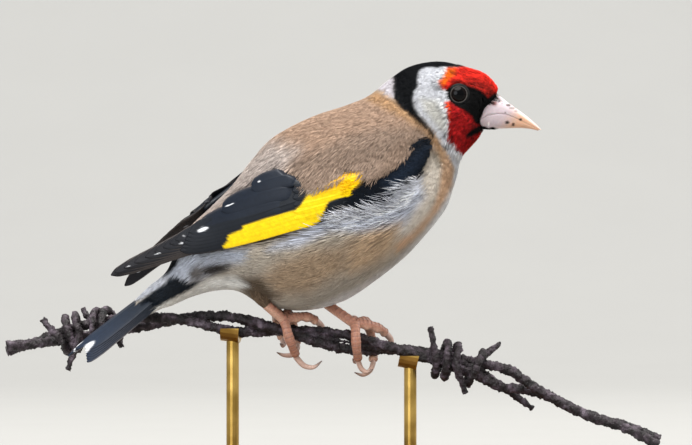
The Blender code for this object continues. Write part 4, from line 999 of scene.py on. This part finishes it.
def make_wing(side, vane_finish, coat_finish):
    """One folded wing: its arm, flight feathers, tertials and coverts."""
    sheet = SHEETS[side]
    name = "right" if side < 0 else "left"
    far = side > 0

    def place(s, v, height):
        covered = ease(0.0, 1.6, -in_window(s, v, MARKED_LEVEL)) * (1 - ease(32, 36, s))
        return sheet.place(s, v, height - WING_TUCK * covered)

    def on_arm(s, v, height):
        return place(s, v, height + arm_height(s, v))

    make_arm(sheet, name, vane_finish)
    primaries = [
        vane(place, wing_colours, (25.0, -6.4 + 0.55 * i), (reach, -0.5 + 0.2 * i), 4.4,
             0.05 + 0.15 * i, bow=2.0 - 0.2 * i, shaft=-0.35, edge=0.22)
        for i, reach in enumerate(PRIMARY_REACH)
    ]
    secondaries = [
        vane(place, wing_colours, (25.0, -5.6 + 1.0 * i), (62.4 - 0.7 * i, -1.4 + 0.55 * i), 4.4,
             1.6 + 0.1 * i, rise=-0.3, shaft=-0.25, edge=0.1, dip=0.3)
        for i in range(6)
    ]
    tertials = [
        vane(place, tertial_colours, (28.5, root), tip, width, 2.15 + 0.24 * i, rise=-0.35, bow=bow,
             shaft=0.15, camber=0.25, edge=0.16, dip=1.7, outline=ROUND_OUTLINE)
        for i, (width, (root, tip, bow)) in enumerate(zip(TERTIAL_WIDTHS, TERTIALS[side]))
    ]
    behind = [((20.0, -6.2 + 1.15 * i), (35.0 - 0.5 * i, -5.6 + 1.45 * i), 3.0, 0.2 + 0.09 * i)
              for i in range(7)]
    ahead = [((9.0, -5.6 + 0.95 * i), (22.5 + 0.5 * i, -6.2 + 1.35 * i), 2.8, 0.2 + 0.06 * i)
             for i in range(6)]
    coverts = [vane(on_arm, wing_colours, *run, rise=0.1, outline=SHORT_OUTLINE, shaft=-0.2,
                    rows=30, dip=0.5) for run in behind + ahead]
    for kind, vanes in (("primaries", primaries), ("secondaries", secondaries),
                        ("tertials", tertials), ("greater_coverts", coverts)):
        join_vanes(f"{kind}_{name}", vanes, vane_finish, far)
    make_lesser_coverts(sheet, name, coat_finish)


def make_lesser_coverts(sheet, name, material):
    """Small feathers over the front of a wing, which sink away under the body's own."""
    rng = np.random.default_rng(20 + sheet.side)
    rows, columns = sheet.guide.points.shape[:2]
    r, c = np.meshgrid(np.arange(rows, dtype=float), np.arange(columns, dtype=float), indexing="ij")
    s, v = SHEET_S_RANGE[0] + r * SHEET_STEP, SHEET_V_RANGE[0] + c * SHEET_STEP
    shown = in_window(s, v, MARKED_LEVEL)
    height = arm_height(s, v) + 0.6 - 0.6 * ease(0.0, 2.0, -shown)
    guide = Guide(sheet.place(s, v, height), False)
    covered = (shown > -0.3) & (s < 19.5) & (s > -3)
    row, column = scatter(guide, np.where(covered, COVERT_DENSITY, 0.0), rng)
    s = SHEET_S_RANGE[0] + row * SHEET_STEP
    size = dict(barbs=8, stations=BARB_LONG, deep=0.35, high=0.14, variety=0.12)
    for key, low, full in (("length", 2.4, 3.4), ("width", 1.4, 2.0), ("thick", 0.2, 0.26),
                           ("splay", 0.3, 0.12)):
        size[key] = low + (full - low) * ease(2, 18, s)
    tilt = (-0.12 + 0.1 * ease(0, 12, s))[:, None]
    way = unit(guide.read(guide.down, row, column) + guide.read(guide.across, row, column) * tilt)
    obj = grow(f"lesser_coverts_{name}", guide, row, column, way, size, material,
               lambda points: wing_colours(*sheet.find(points[:, 0], points[:, 2])), rng)
    show(obj, slot="feather_black")


class TailFrame:
    """The tail's own axes: q from root to tip, r across the tail, height upwards."""

    def __init__(self):
        self.length = (TAIL_TIP - TAIL_ROOT).length
        self.along = (TAIL_TIP - TAIL_ROOT) / self.length
        across = Vector((0, 0, 1)).cross(self.along).normalized()
        across = -across if across.y < 0 else across
        up = across.cross(self.along)
        up = -up if up.z < 0 else up
        self.across = np.array(across * math.cos(TAIL_ROLL) - up * math.sin(TAIL_ROLL))
        self.up = np.array(up * math.cos(TAIL_ROLL) + across * math.sin(TAIL_ROLL))

    def place(self, q, r, height):
        height = height - 0.07 * r * r / (1 + 0.04 * r * r)
        return (np.array(TAIL_ROOT) + q[..., None] * np.array(self.along)
                + r[..., None] * self.across + height[..., None] * self.up)


def make_tail(material):
    """Six pairs of tail feathers, the middle pair on top and the outer ones longest."""
    tail = TailFrame()

    def colours(q, r):
        navy = mixed(linear("#12181F"), linear("#1B2535"), ease(0, 30, q))
        navy = spotted(navy, q, r, (tail.length - 3.4, -1.5), (2.1, 0.9))
        navy = spotted(navy, q, r, (tail.length - 1.6, 1.9), (2.0, 0.3))
        return spotted(navy, q, r, (tail.length - 2.0, 3.2), (1.6, 0.25))

    feathers = []
    for i in range(6):
        for side in (-1, 1):
            longer = 1.2 if side > 0 else -0.6 - 0.6 * i / 5
            reach = tail.length - TAIL_FORK * (1 - i / 5) + longer
            tip = (reach, side * (1.3 + (0.62 if side > 0 else 0.5) * i))
            feathers.append(vane(tail.place, colours, (2.0, side * (0.5 + 0.25 * i)), tip,
                                 5.2 - 0.4 * i, -0.26 * i + (0.12 if side > 0 else 0.0) + 0.2,
                                 shaft=0.3 * side * (i > 0), camber=0.12,
                                 edge=0.3 if i == 5 else 0.06))
    obj = join_vanes("tail_feathers", feathers, material, False)
    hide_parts("tail")


# Eyes and bill.

def places_of(obj):
    places = np.empty(len(obj.data.vertices) * 3, np.float32)
    obj.data.vertices.foreach_get("co", places)
    return places.reshape(-1, 3).astype(float) / MM


def finish_shape(name, material):
    """Names the new primitive, applies its placing and shades it smooth."""
    bpy.ops.object.transform_apply(location=True, rotation=True, scale=True)
    obj = bpy.context.object
    obj.name = name
    obj.data.shade_smooth()
    obj.data.materials.append(material)
    return obj


def make_eyes(cornea, lid_skin):
    """A dark glossy eyeball on each side, with a thin grey lid inside two darker ones."""
    for side, name in ((-1, "right"), (1, "left")):
        axis = unit(np.array(EYE_AXIS) * (1, side, 1))
        out = HALF_WIDTH_AT_EYES + EYE_PROUD - EYE_RADIUS
        centre = np.array([EYE[0], side * out, EYE[1]])
        bpy.ops.mesh.primitive_uv_sphere_add(segments=48, ring_count=32, radius=EYE_RADIUS * MM,
                                             location=centre * MM)
        ball = finish_shape(f"eyeball_{name}", cornea)
        angle = np.degrees(np.arccos(np.clip(unit(places_of(ball) - centre) @ axis, -1, 1)))
        iris = ease(26, 29, angle) * (1 - ease(42, 48, angle))
        add_colours(ball, mixed(linear("#020203"), linear("#0E0806"), iris))
        show(ball, f"eye_{name}", slot="eye")
        turn = Vector(axis).to_track_quat("Z", "Y").to_euler()
        for number, (ring, thick, out, code) in enumerate(EYELIDS, 1):
            bpy.ops.mesh.primitive_torus_add(
                major_segments=64, minor_segments=12, major_radius=ring * MM,
                minor_radius=thick * MM, location=(centre + axis * out) * MM, rotation=turn)
            rim = finish_shape(f"eyelid_{name}_{number}", lid_skin)
            add_colours(rim, plain(code)(rim.data.vertices))
            show(rim, slot="leg_skin")


def half_ring(edge, crown, half_width, count):
    """D-shaped rings: flat along the edge's line, and rounded out to the crown."""
    turn = np.linspace(0, math.pi, count)
    rise = np.sin(turn) ** 0.8
    x = edge[:, [0]] + (crown - edge)[:, [0]] * rise
    z = edge[:, [1]] + (crown - edge)[:, [1]] * rise
    y = np.cos(turn) * half_width[:, None] * (1 + 0.05 * np.sin(2 * turn) ** 2)
    return np.stack([x, y, z], -1)


def bill_colours(points):
    """Pale lilac pink at the base, peach towards the tip and edge, with a painted highlight along
    the ridge and specks of food.
    """
    x, z = points[:, 0], points[:, 2]
    peach = ease(36.6, 42.6, x + (86.4 - z) * 0.9)
    colours = mixed(linear("#C6B5BA"), linear("#D3A27E"), peach * 0.9)
    # A pale band along the culmen's top: painted highlight.
    colours = mixed(colours, linear("#EADFDC"), ease(0.0, 1.2, z + 0.77 * x - 118.5) * 0.7)
    off = np.hypot(x - 35.2, (z - 89.6) * 1.3)
    colours = mixed(colours, linear("#8D5A55"), 1 - ease(0.2, 1.1, off))
    for place, radii, code in BILL_SPECKS:
        colours = spotted(colours, x, z, place, radii, code)
    return colours


def make_bill(horn, bristle):
    """Both halves of the bill, with sunken nostrils and bristles over its base."""
    stations = np.linspace(0, len(CULMEN) - 1, 90)
    knots = range(len(CULMEN))
    culmen, mouth, keel, wide = (
        spline(knots, line, stations) for line in (CULMEN, MOUTH_LINE, KEEL, BILL_HALF_WIDTH))
    rings = half_ring(mouth, culmen, wide, 40)
    off = np.hypot(rings[..., 0] - NOSTRIL[0], rings[..., 2] - NOSTRIL[1])
    hollow = (1 - ease(0.15, NOSTRIL_RADIUS, off)) * NOSTRIL_DEPTH
    rings[..., 1] -= np.sign(rings[..., 1]) * hollow
    under = half_ring(mouth - (0, 0.03), keel, wide * 0.985, 40)[:-2]
    for half, shape, shade in (("upper", rings, 1.0), ("lower", under, 0.94)):
        obj, points = skinned(f"bill_{half}_horn", shape, horn)
        add_colours(obj, bill_colours(points) * shade)
        show(obj, f"bill_{half}", slot="bill")
    rng = np.random.default_rng(8)
    for name, edge, rows, low, high in (("nasal", culmen, slice(8, 22), 0.12, 0.72),
                                        ("chin", keel, slice(10, 42), 0.0, 0.28)):
        guide = Guide(half_ring(mouth, edge, wide + 0.05, 80)[:60], False)
        density = np.zeros(guide.points.shape[:2])
        side = np.abs(np.linspace(-1, 1, 80))
        density[rows, (side > low) & (side < high)] = BRISTLE_DENSITY
        row, column = scatter(guide, density, rng)
        size = dict(barbs=4, stations=BARB_SHORT, length=rng.uniform(0.9, 1.7, len(row)),
                    width=0.5, thick=0.12, deep=0.1, high=0.2, splay=0.4, variety=0.2)
        tuft = grow(f"{name}_bristles", guide, row, column, guide.downwards(row, column), size,
                    bristle, plain("#0E0C0D"), rng)
        show(tuft, slot="plumage_head")


# Legs, toes and claws.

def swept(name, path, radius_of, material, rings=60, sides=20, scale=(1.0, 1.0), colours_of=None):
    """A limb along a smooth path. radius_of and colours_of take the share along it and
    the turn round it, with turn 0 on its upper side."""
    path = np.asarray(path, float)
    u = np.linspace(0, 1, rings)
    line = spline(range(len(path)), path, u * (len(path) - 1))
    ahead = unit(np.gradient(line, axis=0))
    up = np.array([0.0, 0.0, 1.0])
    ups = []
    for way in ahead:
        up = up - way * (up @ way)
        if np.linalg.norm(up) < 1e-3:
            up = np.cross(way, [0.0, 1.0, 0.0])
        up = up / np.linalg.norm(up)
        ups.append(up)
    ups = np.array(ups)
    turn = np.linspace(0, 2 * math.pi, sides, endpoint=False)
    radius = np.broadcast_to(radius_of(u[:, None], turn[None]), (rings, sides))
    points = (line[:, None] + ups[:, None] * (np.cos(turn) * radius * scale[0])[..., None]
              + np.cross(ahead, ups)[:, None] * (np.sin(turn) * radius * scale[1])[..., None])
    obj, _ = skinned(name, points, material)
    if colours_of:
        colours = np.broadcast_to(colours_of(u[:, None], turn[None]), points.shape)
        add_colours(obj, np.concatenate([colours.reshape(-1, 3), colours[[0, -1], 0]]))
    return obj


def scutes(u, turn, length, size):
    """How far along its scute, on the upper side and on the under side a place lies."""
    place, upwards = u * length / size, np.cos(turn)
    return place - np.floor(place), ease(-0.2, 0.6, upwards), ease(-0.1, 0.8, -upwards)


def scaly(length, base, size, pads, taper=0.1):
    """A radius with overlapping scutes on top and soft pads beneath."""
    def radius(u, turn):
        step, top, under = scutes(u, turn, length, size)
        swell = PAD_SWELL * np.cos(u * 2 * math.pi * pads) * (0.35 + 0.65 * under) * (pads > 0)
        ends = np.sqrt(np.clip(1 - (np.maximum(u - 0.93, 0) / 0.08) ** 2, 0.05, 1))
        return base * (1 - taper * u) * ends * (1 + SCUTE_STEP * (1 - step) * top + swell)
    return radius


def scaly_colours(length, size):
    """Flesh brown scutes with dark seams, over paler pads."""
    def colours(u, turn):
        step, top, under = scutes(u, turn, length, size)
        tone = mixed(linear("#AB7862"), linear("#CEA38C"), under)
        tone = mixed(tone, linear("#8F6350"), top * ease(0.3, 1.0, step) * 0.7)
        return mixed(tone, linear("#4A2E25"), top * (1 - ease(0, 0.2, step)) * 0.8)
    return colours


def claw_colours(u, turn):
    """Pinkish grey horn, darker at its tip."""
    return mixed(linear("#C3A292"), linear("#41322B"), ease(0.7, 1.0, u) * 0.85)


def make_legs(leg_skin, claw_horn):
    for side, leg in LEGS.items():
        knee, joint = np.array(leg[0][1]), np.array(leg[1][0])
        down = unit(joint - knee)
        length = float(np.linalg.norm(joint - knee))
        path = [knee - down * 0.6, knee + down * length * 0.33, knee + down * length * 0.66,
                joint + down * 0.5]
        shank = swept(f"tarsus_scales_{side}", path, scaly(length, LEG_RADIUS, LEG_SCUTE, 0, -0.06),
                      leg_skin, colours_of=scaly_colours(length, LEG_SCUTE))
        show(shank, f"tarsus_{side}", slot="leg_skin")
        for i in range(4):
            toe, claw = leg[1 + 2 * i], leg[2 + 2 * i]
            run = np.diff(np.array(toe), axis=0)
            long = float(np.linalg.norm(run, axis=1).sum())
            scales = scaly(long, TOE_RADIUS, TOE_SCUTE, 3 if i else 2)
            piece = swept(f"toe_{side}_{i + 1}", toe, scales, leg_skin, 80, 24,
                          colours_of=scaly_colours(long, TOE_SCUTE))
            show(piece, *([f"foot_{side}"] if i == 0 else []), slot="leg_skin")
            path = [np.array(toe[-1]) - unit(run[-1]) * 0.5, *claw]
            horn = swept(f"claw_horn_{side}_{i + 1}", path,
                         lambda u, turn: CLAW_RADIUS * (1 - 0.86 * u**3.0),
                         claw_horn, 40, 14, (1.15, 0.85), claw_colours)
            show(horn, f"claw_{side}_{i + 1}", slot="claw")


# The rusty barbed wire.

def wire_middle(x):
    y_z = spline(WIRE_ROUTE[:, 0], WIRE_ROUTE[:, 1:], x)
    return np.concatenate([np.asarray(x, float)[..., None], y_z], -1)


def wire_axes(x):
    """Across the wire at x, and up from it."""
    ahead = unit(wire_middle(x + 0.5) - wire_middle(x - 0.5))
    across = unit(np.cross(np.broadcast_to([0.0, 0.0, 1.0], ahead.shape), ahead))
    return across, np.cross(ahead, across)


def crusted(obj, name, size, strength):
    """Presses a lumpy crust of rust into a finished wire."""
    for i, (scale, amount) in enumerate(((size, strength), (size * 0.35, strength * 0.45))):
        lumps = bpy.data.textures.new(f"{name}_{i}", "CLOUDS")
        lumps.noise_scale = scale * MM
        lumps.noise_depth = 2
        press = obj.modifiers.new("crust", "DISPLACE")
        press.texture = lumps
        press.texture_coords = "LOCAL"
        press.strength = amount * MM
        press.mid_level = 0.55
        bpy.context.view_layer.objects.active = obj
        bpy.ops.object.modifier_apply(modifier=press.name)


def make_wire(material):
    for strand in (0, 1):
        x = np.linspace(WIRE_ROUTE[0][0], WIRE_ROUTE[-1][0], 160)
        across, up = wire_axes(x)
        turn = np.radians(spline(TWIST_X, TWIST_DEGREES, x) + 180 * strand)[:, None]
        offset = np.cos(turn) * across + np.sin(turn) * up
        path = wire_middle(x) + offset * spline(SPREAD_X, SPREAD, x)[:, None]
        wire = swept(f"wire_strand_{strand + 1}", path,
                     lambda u, turn: STRAND_RADIUS * 0.98, material, 900, 20)
        crusted(wire, f"strand_{strand}", 1.2, 1.15)
        show(wire, f"perch_strand_{strand + 1}", slot="rusty_wire")
    first, last = CAKE_X[0], CAKE_X[-1]
    cake = swept("wire_rust_cake", wire_middle(np.linspace(first, last, 60)),
                 lambda u, turn: spline(CAKE_X, CAKE_RADIUS, first + u * (last - first)),
                 material, 300, 16)
    crusted(cake, "cake", 1.1, 1.1)
    show(cake, slot="rusty_wire")
    for name, x, turns, start, first_tip, last_tip in BARBS:
        share = np.linspace(0, 1, round(abs(turns) * 9) + 1)
        here = x + BARB_PITCH * abs(turns) * share
        across, up = wire_axes(here)
        turn = (math.radians(start) + 2 * math.pi * turns * share)[:, None]
        coil = wire_middle(here) + BARB_REACH * (np.cos(turn) * across + np.sin(turn) * up)
        tips = [np.array([tx, wire_middle(np.array(tx))[1] + ty, tz])
                for tx, ty, tz in (first_tip, last_tip)]
        path = np.concatenate([
            [tips[0] + (coil[0] - tips[0]) * u for u in (0.0, 0.4)], coil,
            [coil[-1] + (tips[1] - coil[-1]) * u for u in (0.6, 1.0)]])
        barb = swept(f"wire_{name[6:]}", path,
                     lambda u, turn: BARB_RADIUS * (1 - 0.3 * ease(0.42, 0.5, np.abs(u - 0.5))),
                     material, 300, 16)
        crusted(barb, name, 1.0, 0.95)
        show(barb, name, slot="rusty_wire")


# Finishes.

NOISE_LOW, NOISE_HIGH = 0.3, 0.7  # most of a noise's values lie between them


def node(tree, kind, inputs=None, feeds=None, **settings):
    """Adds a node with its settings, its inputs as values or as sockets to link, and the
    sockets that its outputs feed."""
    made = tree.nodes.new(kind)
    for key, value in settings.items():
        setattr(made, key, value)
    for key, value in (inputs or {}).items():
        if isinstance(value, bpy.types.NodeSocket):
            tree.links.new(value, made.inputs[key])
        else:
            made.inputs[key].default_value = value
    for key, socket in (feeds or {}).items():
        tree.links.new(made.outputs[key], socket)
    return made


def finish(name, **inputs):
    """A Principled material of that name, its tree and its shader."""
    made = bpy.data.materials.new(name)
    made.use_nodes = True
    shader = made.node_tree.nodes["Principled BSDF"]
    for key, value in inputs.items():
        shader.inputs[key.replace("_", " ")].default_value = value
    return made, made.node_tree, shader


def noise(tree, size, detail=4.0, distortion=0.0, stretch=None):
    """A grain with features of a size in millimetres, or drawn out along some axes."""
    place = node(tree, "ShaderNodeTexCoord").outputs["Object"]
    if stretch:
        drawn = node(tree, "ShaderNodeMapping", {"Vector": place, "Scale": stretch})
        place = drawn.outputs["Vector"]
    return node(tree, "ShaderNodeTexNoise", {
        "Vector": place, "Scale": 1000.0 / size, "Detail": detail, "Distortion": distortion,
    }).outputs["Fac"]


def set_stops(band, *stops):
    """Gives a colour band its stops, as (position, sRGB hex)."""
    while len(band.elements) < len(stops):
        band.elements.new(0.5)
    for element, (position, code) in zip(band.elements, stops):
        element.position, element.color = position, rgba(code)


def toned(tree, shader, tone):
    """The stored markings, made lighter and darker by a tone."""
    colour = node(tree, "ShaderNodeAttribute", attribute_name="Markings")
    node(tree, "ShaderNodeVectorMath", {0: colour.outputs["Vector"], "Scale": tone},
         {"Vector": shader.inputs["Base Color"]}, operation="SCALE")


def painted(name, grain, contrast, relief=0.0, **inputs):
    """A finish with the stored markings, mottled by a grain in millimetres."""
    made, tree, shader = finish(name, **inputs)
    mottle = noise(tree, grain)
    tone = node(tree, "ShaderNodeMapRange", {
        "Value": mottle, "From Min": NOISE_LOW, "From Max": NOISE_HIGH,
        "To Min": 1 - contrast, "To Max": 1 + contrast})
    toned(tree, shader, tone.outputs["Result"])
    if relief:
        node(tree, "ShaderNodeBump", {"Height": mottle, "Strength": 0.5, "Distance": relief * MM},
             {"Normal": shader.inputs["Normal"]})
    return made


def contour_feathers():
    """Keratin barbs of body feathers: dry and matt, with only a breath of sheen."""
    return painted("contour_feather_keratin", 1.8, 0.05, Roughness=0.85, Specular_IOR_Level=0.08,
                   Sheen_Weight=0.02)


def down():
    """Down under the feathers: dull and deep, so that gaps read as shade."""
    return painted("down_under_feathers", 1.2, 0.15, Roughness=0.95, Specular_IOR_Level=0.05)


def flight_feathers():
    """Keratin vanes of flight feathers: smooth and satin, combed with slanting barbs."""
    made, tree, shader = finish("flight_feather_keratin", Roughness=0.45, Specular_IOR_Level=0.2)
    place = node(tree, "ShaderNodeUVMap", uv_map="Barbs")
    split = node(tree, "ShaderNodeSeparateXYZ", {"Vector": place.outputs["UV"]})
    away = node(tree, "ShaderNodeMath", {0: split.outputs["Y"]}, operation="ABSOLUTE")
    slant = node(tree, "ShaderNodeMath", {0: split.outputs["X"], 1: away.outputs["Value"]},
                 operation="SUBTRACT")
    # Real barbs are 0.05 mm apart; 0.4 mm lets them show in the render.
    wave = node(tree, "ShaderNodeMath", {0: slant.outputs["Value"], 1: 2 * math.pi / 0.4},
                operation="MULTIPLY")
    sine = node(tree, "ShaderNodeMath", {0: wave.outputs["Value"]}, operation="SINE")
    barbs = sine.outputs["Value"]
    combed = node(tree, "ShaderNodeMapRange", {
        "Value": barbs, "From Min": -1.0, "From Max": 1.0, "To Min": 0.9, "To Max": 1.06})
    mottled = node(tree, "ShaderNodeMapRange", {
        "Value": noise(tree, 0.9), "From Min": NOISE_LOW, "From Max": NOISE_HIGH,
        "To Min": 0.86, "To Max": 1.12})
    tone = node(tree, "ShaderNodeMath", {
        0: combed.outputs["Result"], 1: mottled.outputs["Result"]}, operation="MULTIPLY")
    toned(tree, shader, tone.outputs["Value"])
    node(tree, "ShaderNodeBump", {"Height": barbs, "Strength": 0.15, "Distance": 0.03 * MM},
         {"Normal": shader.inputs["Normal"]})
    return made


def wet_cornea():
    """A living eye: a near-black brown iris under a wet, mirror-smooth cornea."""
    return painted("wet_cornea", 0.4, 0.2, Roughness=0.08, IOR=1.38, Specular_IOR_Level=0.18)


def bare_lid_skin():
    """Bare lid skin: grey, wrinkled and slightly moist."""
    return painted("bare_lid_skin", 0.35, 0.35, 0.1, Roughness=0.6, Specular_IOR_Level=0.2)


def bill_horn():
    """Bill keratin: translucent ivory pink with fine growth lines."""
    return painted("bill_keratin", 0.6, 0.06, 0.05, Roughness=0.36, Subsurface_Weight=0.12,
                   Subsurface_Scale=0.4 * MM)


def leg_scales():
    """Leg scales: dull flesh brown, waxy, with a fine pebbled skin between them."""
    return painted("leg_scale_keratin", 0.4, 0.22, 0.12, Roughness=0.48, Subsurface_Weight=0.08,
                   Subsurface_Scale=0.4 * MM)


def claw_keratin():
    """Claw horn: pinkish grey and slightly glossy."""
    return painted("claw_horn", 0.8, 0.15, Roughness=0.3)


def rusted_iron():
    """Old iron wire rusted to a pitted crust: near black, with greyer lilac patches that are partly
    drier rust and partly painted sheen.
    """
    made, tree, shader = finish("rusted_iron_wire", Roughness=0.6, Specular_IOR_Level=0.4)
    crust = noise(tree, 0.55, 6.0)
    colour = node(tree, "ShaderNodeValToRGB", {"Fac": noise(tree, 2.4, 6.0)},
                  {"Color": shader.inputs["Base Color"]})
    # The lighter lilac-grey stops are partly painted sheen.
    set_stops(colour.color_ramp, (0.3, "#0C090A"), (0.46, "#1D1618"), (0.58, "#3A3037"),
              (0.74, "#70646E"))
    node(tree, "ShaderNodeMapRange", {
        "Value": crust, "From Min": NOISE_LOW, "From Max": NOISE_HIGH,
        "To Min": 0.35, "To Max": 0.8}, {"Result": shader.inputs["Roughness"]})
    node(tree, "ShaderNodeBump", {"Height": crust, "Strength": 1.0, "Distance": 0.5 * MM},
         {"Normal": shader.inputs["Normal"]})
    return made


def oiled_walnut():
    """Oiled walnut plinth: brown grain along X under a thin satin varnish."""
    made, tree, shader = finish("oiled_walnut", Roughness=0.42, Coat_Weight=0.3,
                                Coat_Roughness=0.25)
    grain = noise(tree, 3.0, 6.0, 0.6, (0.12, 1.0, 1.0))
    colour = node(tree, "ShaderNodeValToRGB", {"Fac": grain},
                  {"Color": shader.inputs["Base Color"]})
    set_stops(colour.color_ramp, (0.3, "#2E1B10"), (0.55, "#5A3A24"), (0.75, "#7A5436"))
    node(tree, "ShaderNodeBump", {"Height": grain, "Strength": 0.2, "Distance": 0.1 * MM},
         {"Normal": shader.inputs["Normal"]})
    return made


def brushed_brass():
    """Turned brass rod, brushed round and lightly aged."""
    made, tree, shader = finish("brushed_brass", Roughness=0.3, Metallic=1.0)
    colour = node(tree, "ShaderNodeValToRGB", {"Fac": noise(tree, 6.0)},
                  {"Color": shader.inputs["Base Color"]})
    set_stops(colour.color_ramp, (0.35, "#A0803F"), (0.65, "#CBA85C"))
    brush = noise(tree, 0.25, 2.0, stretch=(0.05, 0.05, 1.0))
    node(tree, "ShaderNodeBump", {"Height": brush, "Strength": 0.15, "Distance": 0.05 * MM},
         {"Normal": shader.inputs["Normal"]})
    return made


def studio_paper():
    """Matt pale studio paper."""
    made, tree, shader = finish("studio_paper", Roughness=0.95, Specular_IOR_Level=0.05)
    colour = node(tree, "ShaderNodeValToRGB", {"Fac": noise(tree, 40.0)},
                  {"Color": shader.inputs["Base Color"]})
    set_stops(colour.color_ramp, (0.3, "#9F9E9B"), (0.7, "#A09F9C"))
    return made


# The studio.

CAMERA_AWAY, SENSOR = 1.2, 36.0  # metres from the bird, and millimetres


def make_floor(material):
    """A floor that sweeps up behind the bird, with no line between them."""
    bpy.ops.mesh.primitive_grid_add(x_subdivisions=8, y_subdivisions=96, size=6.0)
    floor = finish_shape("studio_floor", material)
    places = places_of(floor) * MM
    back, bend = 0.7, 1.0
    over = np.clip(places[:, 1] - back, 0, None)
    angle = np.clip(over / bend, 0, math.pi / 2)
    past = np.clip(over - bend * math.pi / 2, 0, None)
    places[:, 1] = np.minimum(places[:, 1], back) + np.sin(angle) * bend
    places[:, 2] = (1 - np.cos(angle)) * bend + past
    floor.data.vertices.foreach_set("co", places.astype(np.float32).ravel())
    floor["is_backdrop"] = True


def light(name, place, target, size, power, colour="#FFFFFF"):
    lamp = bpy.data.lights.new(name, "AREA")
    lamp.shape, lamp.size, lamp.energy = "DISK", size, power
    lamp.color = tuple(linear(colour))
    obj = bpy.data.objects.new(name, lamp)
    bpy.context.scene.collection.objects.link(obj)
    obj.location = place
    obj.rotation_euler = (Vector(target) - Vector(place)).to_track_quat("-Z", "Y").to_euler()


def make_studio():
    """Soft light from above the bird's back, weaker ones from the camera's side and from
    ahead of its breast, and one on the backdrop."""
    light("softbox_above", (-0.1, -0.45, 1.2), (0, 0, 0.06), 1.2, 24.0, "#FFFDF8")
    light("fill_front", (-0.7, -1.3, 0.5), (0, 0, 0.06), 1.0, 11.0, "#F4F8FF")
    light("rim_ahead", (0.95, 0.25, 0.5), (0, 0, 0.07), 0.5, 5.0)
    light("backdrop_light", (0.0, 0.1, 1.6), (0, 1.7, 0.5), 0.8, 32.0)
    world = bpy.data.worlds.new("soft_room")
    bpy.context.scene.world = world
    world.use_nodes = True
    world.node_tree.nodes["Background"].inputs["Color"].default_value = rgba("#F1F3F6")
    world.node_tree.nodes["Background"].inputs["Strength"].default_value = 0.62
    camera = bpy.data.cameras.new("camera")
    camera.sensor_width = SENSOR
    camera.lens = SENSOR * CAMERA_AWAY / (PHOTO_WIDTH / PIXELS_PER_MM * MM)
    camera.clip_start, camera.clip_end = 0.05, 20.0
    eye = bpy.data.objects.new("camera", camera)
    bpy.context.scene.collection.objects.link(eye)
    eye.location = (0.0, -CAMERA_AWAY, (LEVEL_Z - PHOTO_HEIGHT / 2) / PIXELS_PER_MM * MM)
    eye.rotation_euler = (math.pi / 2, 0, 0)
    bpy.context.scene.camera = eye
    bpy.context.scene.view_settings.view_transform = "Standard"


def build():
    plumage, fluff, flight = contour_feathers(), down(), flight_feathers()
    guide = body_guide()
    make_skin(guide, fluff)
    make_coat(guide, plumage)
    make_thighs(fluff, plumage)
    for side in SHEETS:
        make_wing(side, flight, plumage)
    make_tail(flight)
    make_eyes(wet_cornea(), bare_lid_skin())
    make_bill(bill_horn(), plumage)
    make_legs(leg_scales(), claw_keratin())
    make_wire(rusted_iron())
    brass = brushed_brass()
    for name, material in (("stand_base", oiled_walnut()), ("stand_rod_1", brass),
                           ("stand_rod_2", brass)):
        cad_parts[name].data.materials.clear()
        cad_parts[name].data.materials.append(material)
    make_floor(studio_paper())
    make_studio()


bpy.ops.object.select_all(action="DESELECT")
build()
boxes = [[list(corner) for corner in box] for box in (CAD_BOX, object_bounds())]
